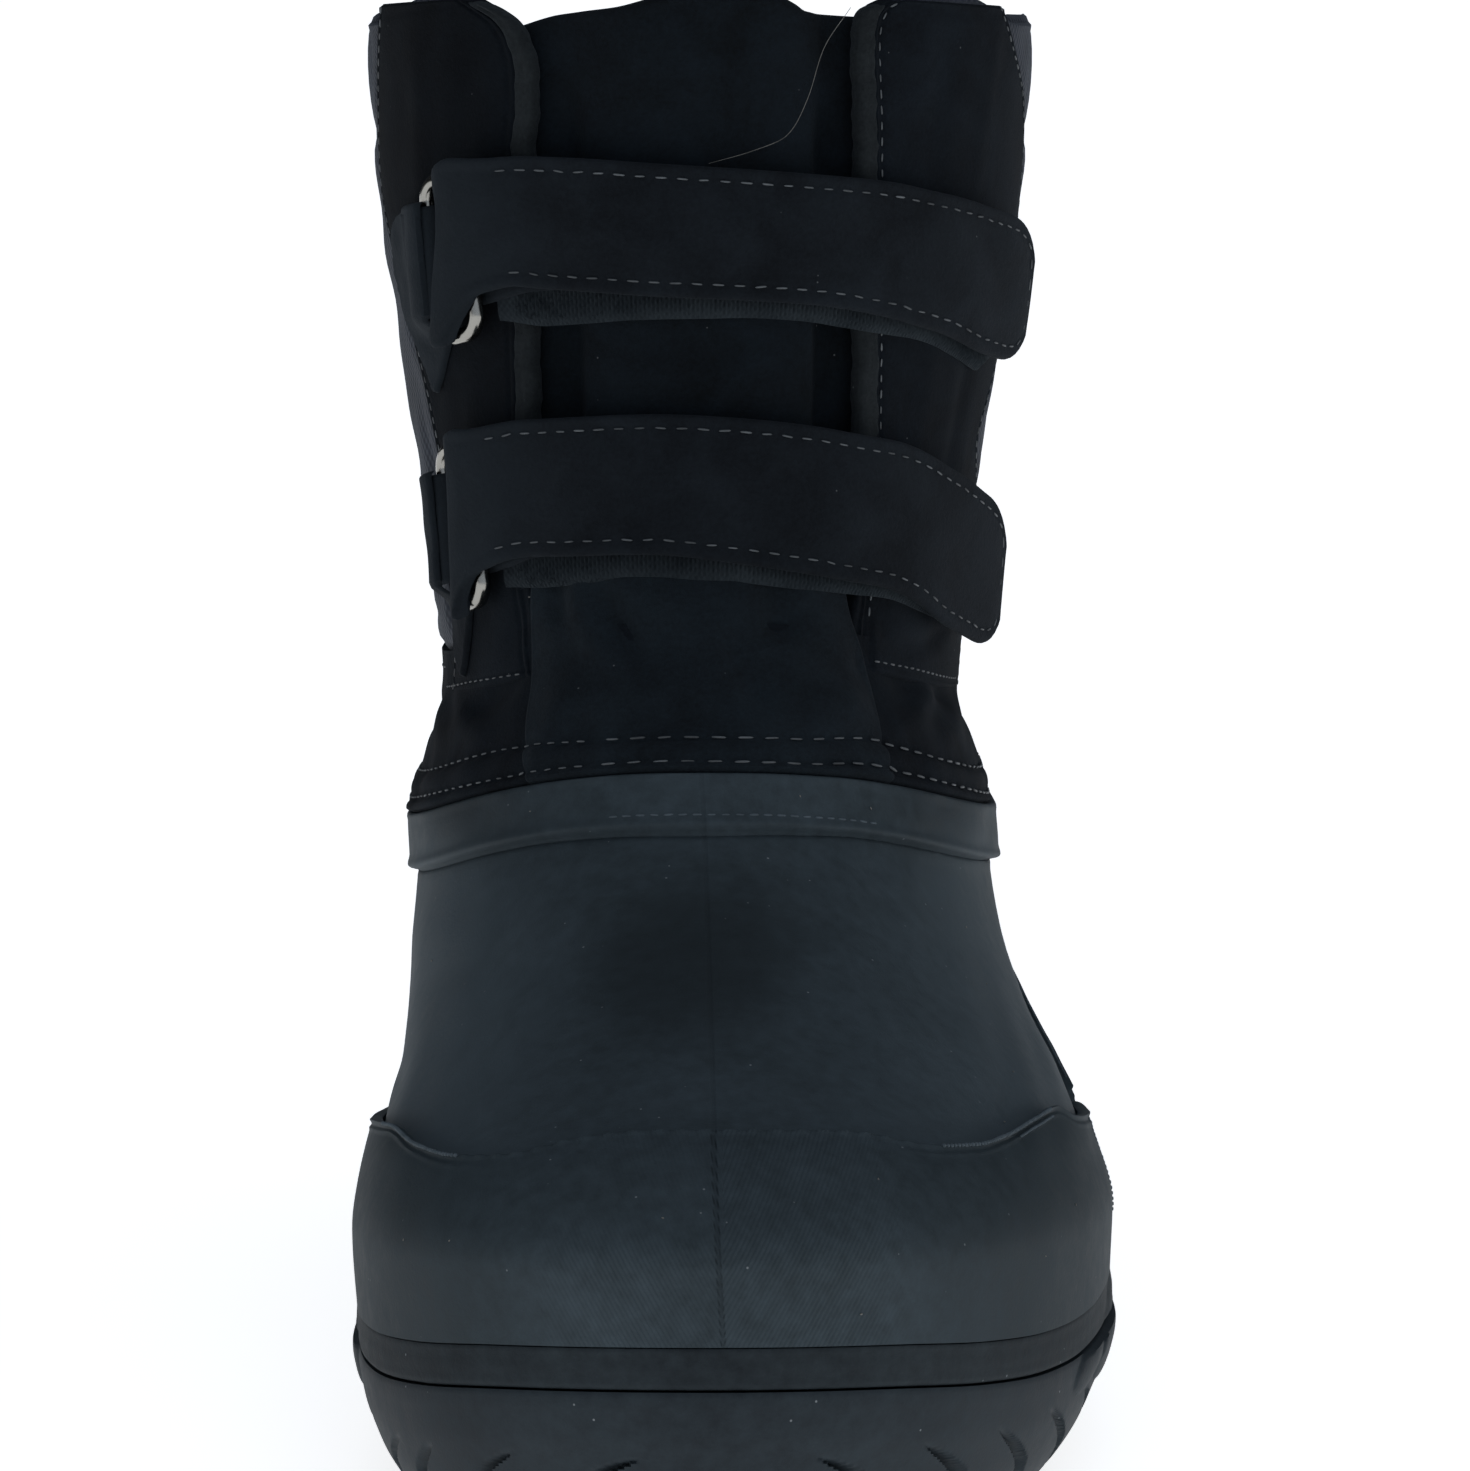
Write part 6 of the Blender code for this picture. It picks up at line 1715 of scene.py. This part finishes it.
STITCH_ROWS = (      # line, then pitch, length, width and height in mm
    (upper_strap.stitch_line(8.5), 3.5, 1.8, 0.34, 0.30),
    (lower_strap.stitch_line(7.0), 3.5, 1.8, 0.34, 0.30),
    (hem_part(hem_low, 6.2, -180, -16), 3.1, 1.5, 0.34, 0.30),
    (hem_part(hem_high, 6.6, -180, -16), 3.1, 1.5, 0.34, 0.30),
    (hem_part(hem_low, 6.2, -16, 180), HEM_STITCH, 2.4, 0.44, 0.40),
    (hem_part(hem_high, 6.6, -16, 180), HEM_STITCH, 2.4, 0.44, 0.40),
    (on_form((7.97, 7.98, 7.93), (-70, -55, -36), 0.45), 2.6, 1.4, 0.34, 0.30),
    (on_form((8.08, 8.09, 8.06), (37, 50, 74), 0.45), 2.4, 1.3, 0.36, 0.32),
    (beside_edge(outer_levels[24:], outer_turns[24:, 0], 3.1, 0.40), 2.6, 1.4, 0.34, 0.30),
    (beside_edge(outer_levels, outer_turns[:, -1], -1.8, 0.50), 2.4, 1.3, 0.30, 0.26),
    (beside_edge(inner_levels, inner_turns[:, 0], 1.8, 0.50), 2.4, 1.3, 0.30, 0.26),
    (on_form((8.16, 8.16), (86, 180), 0.42), 2.6, 1.4, 0.32, 0.28),
    (on_form((8.16, 8.16), (-180, -70), 0.42), 2.6, 1.4, 0.32, 0.28),
)
many("stitching", [stitched(*row) for row in STITCH_ROWS], thread)

# %% Beads moulded along the rubber edges
def cord_line(first, last, below):
    """A line on the toe cap's cord, `below` mm under its top edge."""
    turn = np.radians(np.linspace(first, last, 300))
    top = cap_edge(turn)
    half_level = boot_surface(top, turn, 2) - boot_surface(top - 0.5, turn, 2)
    return raised_line(top - below * 0.5 / np.linalg.norm(half_level, axis=-1), turn, 2.48)


def stay_line(levels, degrees):
    """A line down the side of the shell through a short table of levels and turns."""
    level = np.linspace(levels[0], levels[-1], 300)
    return raised_line(level, np.radians(np.interp(-level, -np.array(levels), degrees)), 2.05)


def counter_edge(first, last):
    """The fine teeth along the heel counter's top edge."""
    turn = np.radians(np.linspace(first, last, 400))
    return raised_line(heel_edge(turn) - 0.02, turn, 1.95)


def band_line(first, last):
    """Where short ribs are moulded, just above the band's lower lip."""
    turn = np.radians(np.linspace(first, last, 300))
    return raised_line(5.10 + band_lift(turn), turn, 1.44)


TOOTH = (0.9, 0.6, 0.6, 0.5)
BEAD_ROWS = (        # line, then pitch, length, width and height in mm
    (band_line(-14, 31), 2.3, 1.5, 0.55, 0.5),
    (cord_line(30, 54, CORD_AT), 0.95, 0.72, 0.72, 0.72),
    (cord_line(-52, -30, CORD_AT), 0.95, 0.72, 0.72, 0.72),
    (cord_line(44, 54, FINE_AT), 0.9, 0.5, 0.5, 0.5),
    (counter_edge(88, 150), *TOOTH),
    (counter_edge(210, 272), *TOOTH),
    (stay_line((2.32, 2.0, 1.2, 0.8), (71.2, 71.2, 71.6, 72.0)), *TOOTH),
    (stay_line((2.2, 0.3), (-76, -76)), *TOOTH),
)
many("moulded_beads", [stitched(*row) for row in BEAD_ROWS], bead_rubber)

# %% Hook tape fibres at the mouth of each strap
def fuzz(belt, strap_low, count, seed):
    """Loose fibres where the hook tape starts, thickest near the loop: places and directions
    are drawn at random from a seeded generator."""
    dice = np.random.default_rng(seed)
    _, bar_along, _ = belt.bar(1)
    past = 8.0 + np.abs(dice.normal(0, 9.0, count))
    across = -dice.uniform(strap_low - 1.0, strap_low + 4.6, count)
    place = belt.point(bar_along + past, across, 1.9 + dice.uniform(0, 0.8, count))
    up = unit(belt.point(bar_along + past, across, 4.0) - place + dice.normal(0, 0.9, (count, 3)))
    way = unit(np.cross(up, dice.normal(size=(count, 3))))
    return place, way, up, 0.9, 0.10, 0.10


many("hook_tape_fibres", [fuzz(upper_belt, 8.6, 110, 3), fuzz(lower_belt, 9.0, 90, 4)],
     strap_suede)

# %% A stray hair and specks of lint
HAIR_RADIUS = 0.05       # mm, as coarse as it needs to show
hair_path = smooth_table((0, .25, .5, .72, .86, 1), np.transpose((       # levels, turns
    (10.93, 10.76, 10.55, 10.40, 10.33, 10.28), (24.5, 20.0, 17.4, 14.0, 8.0, 1.5))))
hair_level, hair_turn = hair_path(np.linspace(0, 1, 90)).T
hair_core = boot_surface(hair_level, np.radians(hair_turn), -0.35)
hair_way = unit(np.gradient(hair_core, axis=0))
hair_side = unit(np.cross(hair_way, (0.0, 0.0, 1.0)))
hair_up = np.cross(hair_side, hair_way)
ring = hexagon[None, :, None]
hair = np.cos(ring) * hair_side[:, None] + np.sin(ring) * hair_up[:, None]
tube_piece("stray_hair", hair_core[:, None] + HAIR_RADIUS * hair, lint)

dice = np.random.default_rng(12)
speck_level = np.concatenate([dice.uniform(0.4, 4.7, 12), dice.uniform(5.3, 5.8, 4), [8.52]])
speck_turn = np.radians(np.concatenate([dice.uniform(-60, 60, 12), dice.uniform(-50, 50, 4), [-33.6]]))
speck_out = np.where(speck_level < cap_edge(speck_turn), 2.12, 0.08)
speck_out = np.where((speck_level > 5) & (speck_level < 6), 1.4, speck_out)
speck_out[-1] = 1.2
speck = boot_surface(speck_level, speck_turn, speck_out)
speck_up = surface_normal(speck_level, speck_turn)
speck_way = unit(np.cross(speck_up, dice.normal(size=speck_up.shape)))
many("lint_specks", [(speck, speck_way, speck_up, 0.42, 0.26, 0.2)], lint, seed=6)
